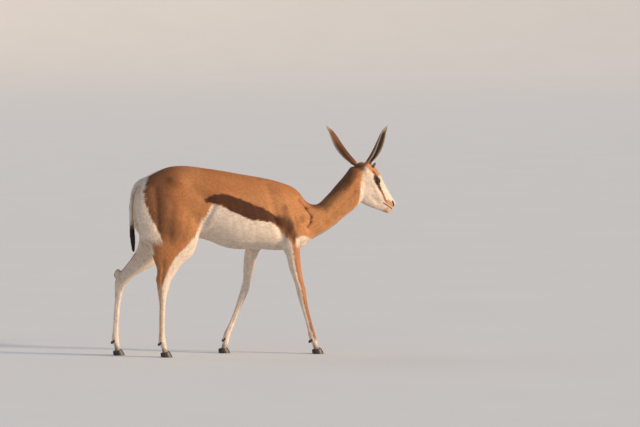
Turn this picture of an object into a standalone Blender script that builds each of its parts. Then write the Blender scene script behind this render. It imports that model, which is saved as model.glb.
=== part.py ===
"""A young springbok (Antidorcas marsupialis), life size, in a slow walking stance.

X points forward, Y to the animal's left and Z up, in metres. The origin lies on the floor,
under the middle of the animal's box. The flesh is one body of lofted limbs and muscles,
parted by thin cuts into the trunk, neck, head, ears, tail and three lengths of each leg.
Eyes, horn buds, dewclaws and cloven hooves are solids of their own, let into that flesh."""

from math import cos, pi, radians, sin

import bmesh
import bpy
import numpy as np
from mathutils import Matrix, Vector

# ---- driving dimensions ----
MIDDLE_X = 0.0078  # middle of the animal's length, measured from the point under its ribs
GAP = 0.0003  # left between two solids that touch
CUT = 0.0004  # thickness of the cuts that part the flesh
SKIN_GRAIN = 0.004  # size of the cells that fuse the limbs into one body
FLESH_TRIANGLES = 3400

HEAD_PITCH = radians(46.5)  # of the skull's axis, below the horizon
HEAD_TURN = radians(10)  # of the skull, to the animal's left
HEAD_ROOT = Vector((0.455, 0.0, 0.775))  # inside the skull, behind the ears
EYE_AT = (0.0785, 0.0235, 0.0320)  # along, above and beside the skull's axis
EYE_RADIUS = 0.0150
HORN_AT = (0.0300, 0.0580, 0.0190)
HORN_LENGTH = 0.019
HORN_RADIUS = 0.0065
EAR_AT = (-0.0040, 0.0240, 0.0300)

HOOF_LENGTH = 0.046
HOOF_WIDTH = 0.0175
HOOF_HEIGHT = 0.026
TOE_SPREAD = 0.0105  # from a foot's middle to the middle of each of its two hooves
DEWCLAW_LENGTH = 0.014
DEWCLAW_RADIUS = 0.0048

# Stations of the body: place x, y, z, then half its width, its reach on the upper or front
# side, its reach on the lower or back side, and how much wider its upper or front side is.
TRUNK = (
    (-0.505, 0.0, 0.690, 0.058, 0.055, 0.080, 0.00),
    (-0.470, 0.0, 0.685, 0.082, 0.086, 0.110, 0.00),
    (-0.410, 0.0, 0.675, 0.096, 0.124, 0.140, -0.05),
    (-0.340, 0.0, 0.665, 0.100, 0.143, 0.155, -0.10),
    (-0.250, 0.0, 0.650, 0.104, 0.148, 0.150, -0.12),
    (-0.165, 0.0, 0.632, 0.112, 0.153, 0.153, -0.15),
    (-0.080, 0.0, 0.610, 0.118, 0.159, 0.163, -0.18),
    (0.010, 0.0, 0.600, 0.118, 0.153, 0.154, -0.18),
    (0.090, 0.0, 0.585, 0.108, 0.147, 0.147, -0.15),
    (0.150, 0.0, 0.573, 0.092, 0.134, 0.136, -0.10),
    (0.205, 0.0, 0.563, 0.075, 0.094, 0.108, -0.05),
    (0.250, 0.0, 0.560, 0.056, 0.069, 0.078, 0.00),
    (0.280, 0.0, 0.562, 0.036, 0.045, 0.048, 0.00),
)
NECK = (
    (0.165, 0.0, 0.580, 0.072, 0.085, 0.100, 0.00),
    (0.235, 0.0, 0.575, 0.066, 0.068, 0.090, 0.00),
    (0.292, 0.0, 0.592, 0.056, 0.047, 0.075, 0.00),
    (0.345, 0.0, 0.637, 0.050, 0.044, 0.077, 0.00),
    (0.393, 0.0, 0.685, 0.047, 0.047, 0.085, 0.00),
    (0.432, 0.0, 0.735, 0.044, 0.043, 0.076, 0.00),
    (0.455, 0.0, 0.775, 0.036, 0.038, 0.040, 0.00),
)
# Along the skull's axis instead of x, y, z, with the same four shape values after it.
HEAD = (
    (-0.020, 0.024, 0.038, 0.050, 0.00),
    (0.005, 0.034, 0.053, 0.068, 0.05),
    (0.033, 0.038, 0.066, 0.076, 0.12),
    (0.057, 0.040, 0.067, 0.080, 0.18),
    (0.083, 0.040, 0.061, 0.086, 0.22),
    (0.108, 0.036, 0.054, 0.085, 0.24),
    (0.133, 0.031, 0.049, 0.078, 0.22),
    (0.158, 0.0265, 0.043, 0.0655, 0.18),
    (0.184, 0.0235, 0.0385, 0.0525, 0.12),
    (0.204, 0.0215, 0.0350, 0.0420, 0.06),
    (0.219, 0.0185, 0.0300, 0.0330, 0.00),
    (0.2290, 0.0130, 0.0180, 0.0240, 0.00),
    (0.2350, 0.0065, 0.0070, 0.0130, 0.00),
)
TAIL = (
    (-0.465, 0.0, 0.742, 0.020, 0.018, 0.020, 0.0),
    (-0.496, 0.0, 0.738, 0.017, 0.014, 0.016, 0.0),
    (-0.522, 0.0, 0.712, 0.0135, 0.011, 0.011, 0.0),
    (-0.535, 0.0, 0.665, 0.0120, 0.009, 0.009, 0.0),
    (-0.538, 0.0, 0.610, 0.0110, 0.0085, 0.0085, 0.0),
    (-0.537, 0.0, 0.560, 0.0120, 0.010, 0.010, 0.0),
    (-0.534, 0.0, 0.515, 0.0150, 0.013, 0.013, 0.0),
    (-0.531, 0.0, 0.475, 0.0130, 0.011, 0.011, 0.0),
    (-0.529, 0.0, 0.440, 0.0050, 0.004, 0.004, 0.0),
)
LEGS = {
    "fore_right": (
        (0.132, -0.062, 0.535, 0.038, 0.055, 0.060, 0.0),
        (0.140, -0.066, 0.475, 0.034, 0.042, 0.046, 0.0),
        (0.148, -0.068, 0.430, 0.027, 0.033, 0.032, 0.0),
        (0.160, -0.069, 0.362, 0.0205, 0.0265, 0.0255, 0.0),
        (0.1755, -0.069, 0.302, 0.0165, 0.0215, 0.0190, 0.0),
        (0.1845, -0.069, 0.270, 0.0175, 0.0215, 0.0205, 0.0),
        (0.1910, -0.069, 0.238, 0.0150, 0.0185, 0.0185, 0.0),
        (0.2045, -0.069, 0.185, 0.0108, 0.0155, 0.0150, 0.0),
        (0.2230, -0.069, 0.118, 0.0105, 0.0140, 0.0140, 0.0),
        (0.2375, -0.069, 0.064, 0.0148, 0.0150, 0.0160, 0.0),
        (0.2455, -0.069, 0.044, 0.0140, 0.0125, 0.0135, 0.0),
    ),
    "fore_left": (
        (0.085, 0.062, 0.555, 0.040, 0.060, 0.065, 0.0),
        (0.035, 0.066, 0.495, 0.034, 0.042, 0.046, 0.0),
        (0.006, 0.068, 0.440, 0.027, 0.031, 0.033, 0.0),
        (-0.010, 0.069, 0.365, 0.0205, 0.024, 0.025, 0.0),
        (-0.019, 0.069, 0.305, 0.0160, 0.018, 0.018, 0.0),
        (-0.026, 0.069, 0.273, 0.0170, 0.0185, 0.019, 0.0),
        (-0.038, 0.069, 0.242, 0.0150, 0.0160, 0.017, 0.0),
        (-0.059, 0.069, 0.188, 0.0108, 0.0130, 0.0135, 0.0),
        (-0.087, 0.069, 0.120, 0.0105, 0.0125, 0.0130, 0.0),
        (-0.109, 0.069, 0.066, 0.0148, 0.0145, 0.0160, 0.0),
        (-0.113, 0.069, 0.044, 0.0140, 0.0125, 0.0135, 0.0),
    ),
    "hind_right": (
        (-0.395, -0.052, 0.700, 0.045, 0.095, 0.090, 0.0),
        (-0.383, -0.060, 0.620, 0.050, 0.135, 0.135, 0.0),
        (-0.384, -0.066, 0.540, 0.047, 0.136, 0.137, 0.0),
        (-0.383, -0.072, 0.470, 0.039, 0.108, 0.110, 0.0),
        (-0.395, -0.075, 0.420, 0.031, 0.076, 0.074, 0.0),
        (-0.403, -0.076, 0.372, 0.0235, 0.047, 0.046, 0.0),
        (-0.4150, -0.076, 0.325, 0.0200, 0.030, 0.032, 0.0),
        (-0.4190, -0.076, 0.296, 0.0200, 0.026, 0.027, 0.0),
        (-0.4210, -0.076, 0.262, 0.0165, 0.0185, 0.0200, 0.0),
        (-0.4215, -0.076, 0.225, 0.0120, 0.0140, 0.0145, 0.0),
        (-0.4235, -0.076, 0.160, 0.0105, 0.0130, 0.0135, 0.0),
        (-0.4240, -0.076, 0.105, 0.0105, 0.0128, 0.0132, 0.0),
        (-0.4220, -0.076, 0.066, 0.0148, 0.0150, 0.0165, 0.0),
        (-0.4160, -0.076, 0.044, 0.0140, 0.0125, 0.0135, 0.0),
    ),
    "hind_left": (
        (-0.405, 0.052, 0.700, 0.045, 0.095, 0.090, 0.0),
        (-0.398, 0.060, 0.620, 0.050, 0.125, 0.130, 0.0),
        (-0.398, 0.066, 0.550, 0.047, 0.105, 0.128, 0.0),
        (-0.412, 0.072, 0.485, 0.041, 0.078, 0.090, 0.0),
        (-0.446, 0.075, 0.432, 0.034, 0.060, 0.060, 0.0),
        (-0.491, 0.077, 0.387, 0.0260, 0.040, 0.041, 0.0),
        (-0.532, 0.077, 0.350, 0.0205, 0.028, 0.031, 0.0),
        (-0.5620, 0.077, 0.317, 0.0200, 0.0255, 0.0290, 0.0),
        (-0.5745, 0.077, 0.280, 0.0170, 0.0190, 0.0205, 0.0),
        (-0.5800, 0.077, 0.240, 0.0120, 0.0142, 0.0145, 0.0),
        (-0.5860, 0.077, 0.170, 0.0105, 0.0130, 0.0135, 0.0),
        (-0.5900, 0.077, 0.105, 0.0105, 0.0128, 0.0132, 0.0),
        (-0.5910, 0.077, 0.066, 0.0148, 0.0150, 0.0165, 0.0),
        (-0.5870, 0.077, 0.044, 0.0140, 0.0125, 0.0135, 0.0),
    ),
}
# Where each foot's middle stands on the floor.
FEET = {
    "fore_right": (0.2600, -0.069),
    "fore_left": (-0.1170, 0.069),
    "hind_right": (-0.4030, -0.076),
    "hind_left": (-0.5750, 0.077),
}
# Muscles and bony points that the lofts leave out: middle, radii, and lean about Y in degrees.
MUSCLES = (
    ((0.118, -0.060, 0.600), (0.060, 0.030, 0.115), -24),  # right shoulder blade
    ((0.108, 0.060, 0.600), (0.060, 0.030, 0.115), -24),  # left shoulder blade
    ((0.168, -0.058, 0.520), (0.062, 0.030, 0.048), 28),  # right upper arm
    ((0.128, 0.060, 0.525), (0.085, 0.028, 0.048), 28),  # left upper arm
    ((0.185, 0.0, 0.500), (0.056, 0.050, 0.055), 0),  # breast
    ((0.440, 0.0, 0.770), (0.029, 0.028, 0.026), 0),  # nape
    ((-0.455, -0.060, 0.630), (0.082, 0.040, 0.110), 8),  # right buttock
    ((-0.455, 0.060, 0.630), (0.082, 0.040, 0.110), 8),  # left buttock
    ((-0.345, -0.072, 0.738), (0.055, 0.020, 0.026), 10),  # right hip bone
    ((-0.345, 0.072, 0.738), (0.055, 0.020, 0.026), 10),  # left hip bone
    ((-0.4400, -0.076, 0.334), (0.0100, 0.0105, 0.022), 12),  # right point of hock
    ((-0.5850, 0.077, 0.350), (0.0100, 0.0105, 0.022), 30),  # left point of hock
)
# The same along, above and beside the skull's axis, on both sides of the head.
FACE = (
    ((0.0765, 0.0215, 0.0285), (0.026, 0.021, 0.0165)),  # eye socket and brow
    ((0.087, -0.030, 0.0190), (0.042, 0.036, 0.0150)),  # cheek
    ((0.212, 0.019, 0.0100), (0.0140, 0.0130, 0.0120)),  # nostril
    ((0.200, 0.006, 0.0130), (0.028, 0.0120, 0.0095)),  # upper lip
    ((0.213, -0.021, 0.0065), (0.020, 0.0120, 0.0105)),  # chin
    ((0.005, 0.030, 0.0320), (0.020, 0.022, 0.0150)),  # root of the ear
)
# Each ear: its side of the head, its tip, and the way its opening faces.
EARS = (
    (-1, (0.5600, -0.0880, 0.9700), (0.71, -0.70, -0.05)),
    (1, (0.3340, 0.0740, 0.9660), (-0.78, 0.60, -0.10)),
)
EAR_WIDTH = 0.082  # across its middle, laid flat
EAR_THICKNESS = 0.0030
EAR_BOW = 0.0140  # how far its middle bows towards its opening

# Cuts: a point, the way the cut faces, half its length along the body, half its width.
CUTS = (
    ((0.262, 0.0, 0.560), (0.985, 0.0, -0.172), 0.150, 0.130),  # neck from trunk
    ((0.432, 0.0, 0.720), (0.933, 0.0, 0.358), 0.100, 0.080),  # head from neck
    ((-0.5345, 0.0, 0.668), (0.12, 0.0, 0.99), 0.0150, 0.020),  # tail from trunk
    ((-0.5375, 0.0, 0.575), (0.0, 0.0, 1.0), 0.018, 0.020),  # tuft from tail
    ((0.151, -0.069, 0.412), (-0.12, 0.0, 1.0), 0.060, 0.055),  # forearms from trunk
    ((-0.001, 0.069, 0.412), (0.15, 0.0, 1.0), 0.060, 0.055),
    ((0.189, -0.069, 0.250), (-0.25, 0.0, 1.0), 0.040, 0.035),  # fore cannons
    ((-0.035, 0.069, 0.250), (0.38, 0.0, 1.0), 0.040, 0.035),
    ((0.2335, -0.069, 0.080), (-0.27, 0.0, 1.0), 0.032, 0.030),  # fore feet
    ((-0.1035, 0.069, 0.080), (0.40, 0.0, 1.0), 0.032, 0.030),
    ((-0.376, 0.0, 0.492), (0.05, 0.0, 1.0), 0.132, 0.125),  # both thighs from trunk
    ((-0.4210, -0.076, 0.264), (0.0, 0.0, 1.0), 0.045, 0.035),  # hind cannons
    ((-0.5770, 0.077, 0.268), (0.10, 0.0, 1.0), 0.045, 0.035),
    ((-0.4235, -0.076, 0.084), (0.0, 0.0, 1.0), 0.032, 0.030),  # hind feet
    ((-0.5905, 0.077, 0.084), (0.0, 0.0, 1.0), 0.032, 0.030),
)
# A point near the middle of each length of flesh, by which the cut pieces get their names.
FLESH_NAMES = {
    "trunk": (-0.15, 0.0, 0.62),
    "neck": (0.34, 0.0, 0.64),
    "head": (0.53, 0.0, 0.71),
    "ear_right": (0.520, -0.06, 0.890),
    "ear_left": (0.390, 0.07, 0.890),
    "tail": (-0.537, 0.0, 0.630),
    "tail_tuft": (-0.534, 0.0, 0.510),
    "fore_right_forearm": (0.165, -0.069, 0.33),
    "fore_right_cannon": (0.213, -0.069, 0.16),
    "fore_right_foot": (0.244, -0.069, 0.05),
    "fore_left_forearm": (-0.012, 0.069, 0.33),
    "fore_left_cannon": (-0.070, 0.069, 0.16),
    "fore_left_foot": (-0.112, 0.069, 0.05),
    "hind_right_gaskin": (-0.390, -0.074, 0.38),
    "hind_right_cannon": (-0.423, -0.076, 0.16),
    "hind_right_foot": (-0.416, -0.076, 0.05),
    "hind_left_gaskin": (-0.465, 0.075, 0.38),
    "hind_left_cannon": (-0.585, 0.077, 0.16),
    "hind_left_foot": (-0.588, 0.077, 0.05),
}
CINNAMON = (0.46, 0.20, 0.075)
CREAM = (0.74, 0.66, 0.54)
CHOCOLATE = (0.085, 0.035, 0.018)
HORN_BLACK = (0.020, 0.017, 0.015)


# ---- shapes ----
def spline(rows, step):
    """Smooth rows through the given ones, about one every step metres of their path."""
    rows = np.array(rows, float)
    gaps = np.linalg.norm(np.diff(rows[:, :3], axis=0), axis=1)
    knots = np.concatenate([[0.0], np.cumsum(gaps)])
    slopes = np.gradient(rows, knots, axis=0)
    at = np.linspace(0.0, knots[-1], max(int(knots[-1] / step), len(rows)) + 1)
    i = np.clip(np.searchsorted(knots, at, side="right") - 1, 0, len(rows) - 2)
    h = (knots[i + 1] - knots[i])[:, None]
    t = (at - knots[i])[:, None] / h
    ends = (1 + 2 * t) * (1 - t) ** 2 * rows[i] + t * t * (3 - 2 * t) * rows[i + 1]
    turns = t * (1 - t) ** 2 * slopes[i] - t * t * (1 - t) * slopes[i + 1]
    return ends + h * turns


def skull(along, above, beside):
    """The world place of a point given along, above and beside the skull's axis."""
    forward = Vector((cos(HEAD_PITCH), 0.0, -sin(HEAD_PITCH)))
    upward = Vector((sin(HEAD_PITCH), 0.0, cos(HEAD_PITCH)))
    turned = forward * along + upward * above + Vector((0.0, beside, 0.0))
    return HEAD_ROOT + Matrix.Rotation(HEAD_TURN, 3, "Z") @ turned


def loft(bm, rows, side=(0.0, 1.0, 0.0), step=0.010, sides=28):
    """Adds a closed tube of rings along the rows, each ring square to the path."""
    rings = spline(rows, step)
    alongs = np.gradient(rings[:, :3], axis=0)
    loops = []
    for (x, y, z, width, front, back, keel), along in zip(rings, alongs, strict=True):
        along = Vector(along).normalized()
        across = Vector(side)
        across = (across - along * across.dot(along)).normalized()
        outward = along.cross(across)
        loop = []
        for k in range(sides):
            c, s = cos(2 * pi * k / sides), sin(2 * pi * k / sides)
            reach = front if s > 0 else back
            place = Vector((x, y, z)) + across * (width * c * (1 + keel * s))
            loop.append(bm.verts.new(place + outward * (reach * s)))
        loops.append(loop)
    for one, two in zip(loops, loops[1:]):
        for k in range(sides):
            n = (k + 1) % sides
            bm.faces.new((one[k], one[n], two[n], two[k]))
    bm.faces.new(loops[0][::-1])
    bm.faces.new(loops[-1])


def muscle_share(place):
    """How far the flesh at a place is softened: fully on the trunk, not on limbs, head or tail."""
    low = (place.z - 0.42) / 0.10
    fore = (0.36 - place.x) / 0.10
    beside_tail = max((place.x + 0.520) / 0.004, (abs(place.y) - 0.020) / 0.008)
    return min(max(min(low, fore, beside_tail), 0.0), 1.0)


def ball(bm, middle, radii, turn):
    """Adds an ellipsoid with its radii along the axes of the turn matrix."""
    place = Matrix.Translation(middle) @ turn.to_4x4() @ Matrix.Diagonal((*radii, 1.0))
    bmesh.ops.create_icosphere(bm, subdivisions=3, radius=1.0, matrix=place)


def skull_turn():
    """The turn that lays a ball's axes along, beside and above the skull's axis."""
    columns = [skull(*p) - skull(0, 0, 0) for p in ((1, 0, 0), (0, 0, 1), (0, 1, 0))]
    return Matrix(columns).transposed()


def toes(foot):
    """For each of a foot's two toes, its middle on the floor and its outward side."""
    x, y = FEET[foot]
    return [(Vector((x, y + side * TOE_SPREAD, 0.0)), side) for side in (-1, 1)]


def dewclaws(foot):
    """For each of a foot's two dewclaws, its root behind the fetlock and its direction."""
    x, y, z = LEGS[foot][-2][:3]
    back = LEGS[foot][-2][5]
    direction = Vector((-0.62, 0.0, -0.78))
    return [
        (Vector((x - back * 0.62, y + side * 0.0085, z - 0.006)), direction)
        for side in (-1, 1)
    ]


def flesh_shapes():
    """Every overlapping loft and muscle of the body, in one mesh."""
    bm = bmesh.new()
    loft(bm, TRUNK)
    loft(bm, NECK)
    turned = [(*skull(row[0], 0, 0), *row[1:]) for row in HEAD]
    loft(bm, turned, side=skull(0, 0, 1) - skull(0, 0, 0), step=0.006)
    loft(bm, TAIL, step=0.006, sides=16)
    for name, rows in LEGS.items():
        loft(bm, rows, step=0.008, sides=24)
        x, y, z = rows[-2][:3]
        for toe, side in toes(name):
            top = (x + 0.002, y + side * 0.006, z, 0.0085, 0.011, 0.012, 0.0)
            end = (toe.x - 0.006, toe.y, 0.012, 0.0070, 0.010, 0.010, 0.0)
            loft(bm, (top, end), step=0.006, sides=16)
    for middle, radii, lean in MUSCLES:
        ball(bm, Vector(middle), radii, Matrix.Rotation(radians(lean), 3, "Y"))
    for (along, above, beside), (long, tall, wide) in FACE:
        for side in (-1, 1):
            middle = skull(along, above, side * beside)
            ball(bm, middle, (long, wide, tall), skull_turn())
    return bm


def ear_width(t):
    """The flat width of an ear at a share t of its length."""
    return np.maximum(EAR_WIDTH * (0.52 + 1.36 * t) * (1 - t**1.9) ** 0.9, 0.004)


def ear_roll(t):
    """How far round the ear's cup goes at a share t of its length."""
    return np.radians(250 - 140 * np.minimum(t / 0.85, 1.0))


def ear_root(side):
    """The middle of an ear's root, inside the skull."""
    return skull(EAR_AT[0], EAR_AT[1], side * EAR_AT[2])


def ear_shape(root, tip, opening, rows=12, columns=8, depths=(0.0, EAR_THICKNESS)):
    """A leaf rolled into a cup: tight at its root, open in the middle, pointed at its tip."""
    bm = bmesh.new()
    along = (tip - root).normalized()
    face = (opening - along * opening.dot(along)).normalized()
    across = along.cross(face)
    length = (tip - root).length
    skins = []
    for depth in depths:
        grid = []
        for r in range(rows + 1):
            t = r / rows
            roll = ear_roll(t)
            bend = ear_width(t) / roll
            out = max(bend - depth, 0.0005)
            middle = root + along * (length * t) + face * (0.35 * bend + EAR_BOW * sin(pi * t))
            line = []
            for c in range(columns + 1):
                angle = roll * (c / columns - 0.5)
                place = middle + across * (out * sin(angle)) - face * (out * cos(angle))
                line.append(bm.verts.new(place))
            grid.append(line)
        skins.append(grid)
    outer, inner = skins
    for r in range(rows):
        for c in range(columns):
            bm.faces.new((outer[r][c], outer[r][c + 1], outer[r + 1][c + 1], outer[r + 1][c]))
            bm.faces.new((inner[r][c], inner[r + 1][c], inner[r + 1][c + 1], inner[r][c + 1]))
    border = [outer[r][0] for r in range(rows + 1)], [inner[r][0] for r in range(rows + 1)]
    other = [outer[r][-1] for r in range(rows + 1)], [inner[r][-1] for r in range(rows + 1)]
    for r in range(rows):
        bm.faces.new((border[0][r + 1], border[1][r + 1], border[1][r], border[0][r]))
        bm.faces.new((other[0][r], other[1][r], other[1][r + 1], other[0][r + 1]))
    for c in range(columns):
        bm.faces.new((outer[0][c + 1], outer[0][c], inner[0][c], inner[0][c + 1]))
        bm.faces.new((outer[-1][c], outer[-1][c + 1], inner[-1][c + 1], inner[-1][c]))
    bmesh.ops.recalc_face_normals(bm, faces=bm.faces)
    return bm


def hoof_shape(middle, side, grown, around=12):
    """One cloven hoof: a flat pointed sole and a wall that leans back to a smaller top."""
    bm = bmesh.new()
    long, wide = HOOF_LENGTH / 2, HOOF_WIDTH / 2
    # Share of the sole's size at each height, and how far that level moves back.
    levels = ((0.0, 1.0, 0.0), (0.35, 0.95, 0.10), (0.75, 0.83, 0.24), (1.0, 0.70, 0.34))
    loops = []
    for height, share, shift in levels:
        loop = []
        for k in range(around):
            angle = 2 * pi * k / around
            toe = max(cos(angle), 0.0)
            x = (long * share + grown) * cos(angle) - long * shift
            y = (wide * share + grown) * sin(angle) * (1 - 0.25 * toe)
            y -= side * wide * 0.45 * toe * toe * share
            z = height * (HOOF_HEIGHT - 0.008 * (1 - cos(angle)) / 2)
            loop.append(bm.verts.new(middle + Vector((x, y, z + (grown if height else -grown)))))
        loops.append(loop)
    for one, two in zip(loops, loops[1:]):
        for k in range(around):
            n = (k + 1) % around
            bm.faces.new((one[k], one[n], two[n], two[k]))
    bm.faces.new(loops[0][::-1])
    bm.faces.new(loops[-1])
    return bm


def spike_shape(root, direction, length, radius, grown):
    """A blunt cone from its root, as a horn bud or a dewclaw is."""
    bm = bmesh.new()
    direction = direction.normalized()
    turn = direction.to_track_quat("Z", "Y").to_matrix().to_4x4()
    levels = ((-0.35, 1.0), (0.35, 0.88), (0.80, 0.55), (1.0, 0.22))
    loops = []
    for height, share in levels:
        reach = radius * share + grown
        lift = length * height + (grown if height > 0 else -grown)
        place = Matrix.Translation(root) @ turn @ Matrix.Translation((0.0, 0.0, lift))
        points = [Vector((reach * cos(a), reach * sin(a), 0.0)) for a in np.arange(8) * pi / 4]
        loops.append([bm.verts.new(place @ p) for p in points])
    for one, two in zip(loops, loops[1:]):
        for k in range(8):
            n = (k + 1) % 8
            bm.faces.new((one[k], one[n], two[n], two[k]))
    bm.faces.new(loops[0][::-1])
    bm.faces.new(loops[-1])
    return bm


def eye_shape(side, grown):
    """One eyeball."""
    bm = bmesh.new()
    middle = skull(EYE_AT[0], EYE_AT[1], side * EYE_AT[2])
    place = Matrix.Translation(middle) @ Matrix.Rotation(pi / 2, 4, "X")
    bmesh.ops.create_uvsphere(
        bm, u_segments=16, v_segments=10, radius=EYE_RADIUS + grown, matrix=place
    )
    return bm


def cut_shape(middle, facing, half_long, half_wide):
    """One thin plate, square to the way it faces."""
    bm = bmesh.new()
    facing = Vector(facing).normalized()
    across = Vector((0.0, 1.0, 0.0))
    across = (across - facing * across.dot(facing)).normalized()
    columns = (across.cross(facing), across, facing)
    turn = Matrix(columns).transposed().to_4x4()
    size = Matrix.Diagonal((2 * half_long, 2 * half_wide, CUT, 1.0))
    bmesh.ops.create_cube(bm, size=1.0, matrix=Matrix.Translation(middle) @ turn @ size)
    return bm


# ---- objects ----
def clear_scene():
    for thing in list(bpy.data.objects):
        bpy.data.objects.remove(thing, do_unlink=True)


def add_object(name, bm):
    """A new object from a bmesh, which it frees."""
    mesh = bpy.data.meshes.new(name)
    bm.to_mesh(mesh)
    bm.free()
    thing = bpy.data.objects.new(name, mesh)
    bpy.context.collection.objects.link(thing)
    return thing


def apply_modifiers(thing):
    """Leaves the object with the mesh that its modifiers make."""
    graph = bpy.context.evaluated_depsgraph_get()
    made = bpy.data.meshes.new_from_object(thing.evaluated_get(graph))
    thing.modifiers.clear()
    thing.data = made


def combine(thing, other, operation):
    """Joins or cuts the object with another one, which is removed."""
    step = thing.modifiers.new("step", "BOOLEAN")
    step.operation = operation
    step.solver = "EXACT"
    step.object = other
    apply_modifiers(thing)
    bpy.data.objects.remove(other, do_unlink=True)


def merge(shapes):
    """One bmesh with every given one in it."""
    whole = bmesh.new()
    for shape in shapes:
        mesh = bpy.data.meshes.new("passing")
        shape.to_mesh(mesh)
        shape.free()
        whole.from_mesh(mesh)
        bpy.data.meshes.remove(mesh)
    return whole


def material(name, colour, roughness):
    made = bpy.data.materials.get(name)
    if made is None:
        made = bpy.data.materials.new(name)
        made.use_nodes = True
        shader = made.node_tree.nodes["Principled BSDF"]
        shader.inputs["Base Color"].default_value = (*colour, 1.0)
        shader.inputs["Roughness"].default_value = roughness
        shader.inputs["Metallic"].default_value = 0.0
    return made


def finish(thing, made, smooth=True):
    """Gives the object its material and its place over the origin."""
    thing.data.materials.clear()
    thing.data.materials.append(made)
    if smooth:
        thing.data.shade_smooth()
    for vertex in thing.data.vertices:
        vertex.co.x -= MIDDLE_X


def make_flesh():
    """The whole body with its ears as one mesh."""
    flesh = add_object("flesh", flesh_shapes())
    fuse = flesh.modifiers.new("fuse", "REMESH")
    fuse.mode = "VOXEL"
    fuse.voxel_size = SKIN_GRAIN
    soften = flesh.modifiers.new("soften", "SMOOTH")
    soften.factor = 0.5
    soften.iterations = 6
    apply_modifiers(flesh)
    muscles = flesh.vertex_groups.new(name="muscles")
    for vertex in flesh.data.vertices:
        muscles.add([vertex.index], muscle_share(vertex.co), "REPLACE")
    settle = flesh.modifiers.new("settle", "SMOOTH")
    settle.factor = 0.5
    settle.iterations = 40
    settle.vertex_group = "muscles"
    apply_modifiers(flesh)
    flesh.data.calc_loop_triangles()
    thin = flesh.modifiers.new("thin", "DECIMATE")
    thin.ratio = FLESH_TRIANGLES / len(flesh.data.loop_triangles)
    apply_modifiers(flesh)
    for side, tip, opening in EARS:
        ear = ear_shape(ear_root(side), Vector(tip), Vector(opening))
        combine(flesh, add_object("ear", ear), "UNION")
    return flesh


def let_ins(grown):
    """Name, shape and material of every hard piece, grown all round by a margin."""
    pieces = []
    for side, word in ((-1, "right"), (1, "left")):
        pieces.append((f"eye_{word}", eye_shape(side, grown), "eye"))
        root = skull(HORN_AT[0], HORN_AT[1], side * HORN_AT[2])
        way = skull(-0.25, 1.0, side * 0.10) - skull(0, 0, 0)
        bud = spike_shape(root, way, HORN_LENGTH, HORN_RADIUS, grown)
        pieces.append((f"horn_{word}", bud, "horn"))
    for foot in FEET:
        for middle, side in toes(foot):
            word = "inner" if side * middle.y < 0 else "outer"
            pieces.append((f"{foot}_hoof_{word}", hoof_shape(middle, side, grown), "hoof"))
        for root, way in dewclaws(foot):
            word = "inner" if abs(root.y) < abs(FEET[foot][1]) else "outer"
            claw = spike_shape(root, way, DEWCLAW_LENGTH, DEWCLAW_RADIUS, grown)
            pieces.append((f"{foot}_dewclaw_{word}", claw, "hoof"))
    return pieces


def split_flesh(flesh):
    """Parts the cut flesh into one named object for each of its pieces."""
    bm = bmesh.new()
    bm.from_mesh(flesh.data)
    left = set(bm.verts)
    groups = []
    while left:
        group, edge = set(), [left.pop()]
        while edge:
            vertex = edge.pop()
            group.add(vertex)
            for link in vertex.link_edges:
                other = link.other_vert(vertex)
                if other in left:
                    left.remove(other)
                    edge.append(other)
        groups.append(group)
    groups.sort(key=len, reverse=True)
    for name, spot in FLESH_NAMES.items():
        spot = Vector(spot)

        def away(group):
            low = Vector(min(v.co[i] for v in group) for i in range(3))
            high = Vector(max(v.co[i] for v in group) for i in range(3))
            return ((low + high) / 2 - spot).length

        group = min(groups[: len(FLESH_NAMES)], key=away)
        piece = bmesh.new()
        copies = {v: piece.verts.new(v.co) for v in sorted(group, key=lambda v: v.index)}
        for face in bm.faces:
            if face.verts[0] in group:
                piece.faces.new([copies[v] for v in face.verts])
        bmesh.ops.triangulate(piece, faces=piece.faces)
        thing = add_object(name, piece)
        white = name not in ("trunk", "neck", "tail_tuft")
        colour = CHOCOLATE if name == "tail_tuft" else CREAM if white else CINNAMON
        word = "tuft" if name == "tail_tuft" else "white_coat" if white else "tan_coat"
        finish(thing, material(word, colour, 0.85))
    bm.free()
    bpy.data.objects.remove(flesh, do_unlink=True)


def build():
    clear_scene()
    flesh = make_flesh()
    sockets = merge([shape for _, shape, _ in let_ins(GAP)])
    for name, shape, kind in let_ins(0.0):
        finish(add_object(name, shape), material(kind, HORN_BLACK, 0.35), smooth=kind == "eye")
    combine(flesh, add_object("sockets", sockets), "DIFFERENCE")
    plates = [cut_shape(*cut) for cut in CUTS]
    for side, tip, _ in EARS:
        root, tip = ear_root(side), Vector(tip)
        plates.append(cut_shape(root.lerp(tip, 0.17), tip - root, 0.034, 0.034))
    combine(flesh, add_object("cuts", merge(plates)), "DIFFERENCE")
    split_flesh(flesh)


build()
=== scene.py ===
"""The looks of a young springbok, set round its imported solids.

One skin replaces the solids of flesh and lies inside them by the depth of the coat. Tufts of
short hair cover it, along the lie of the coat. Eyes, horn buds, hooves and dewclaws stay
separate. X points forward, Y to the animal's left and Z up, in metres."""

from math import cos, pi, radians, sin

import bmesh
import bpy
import numpy as np
from mathutils import Matrix, Vector
from mathutils.bvhtree import BVHTree


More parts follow.
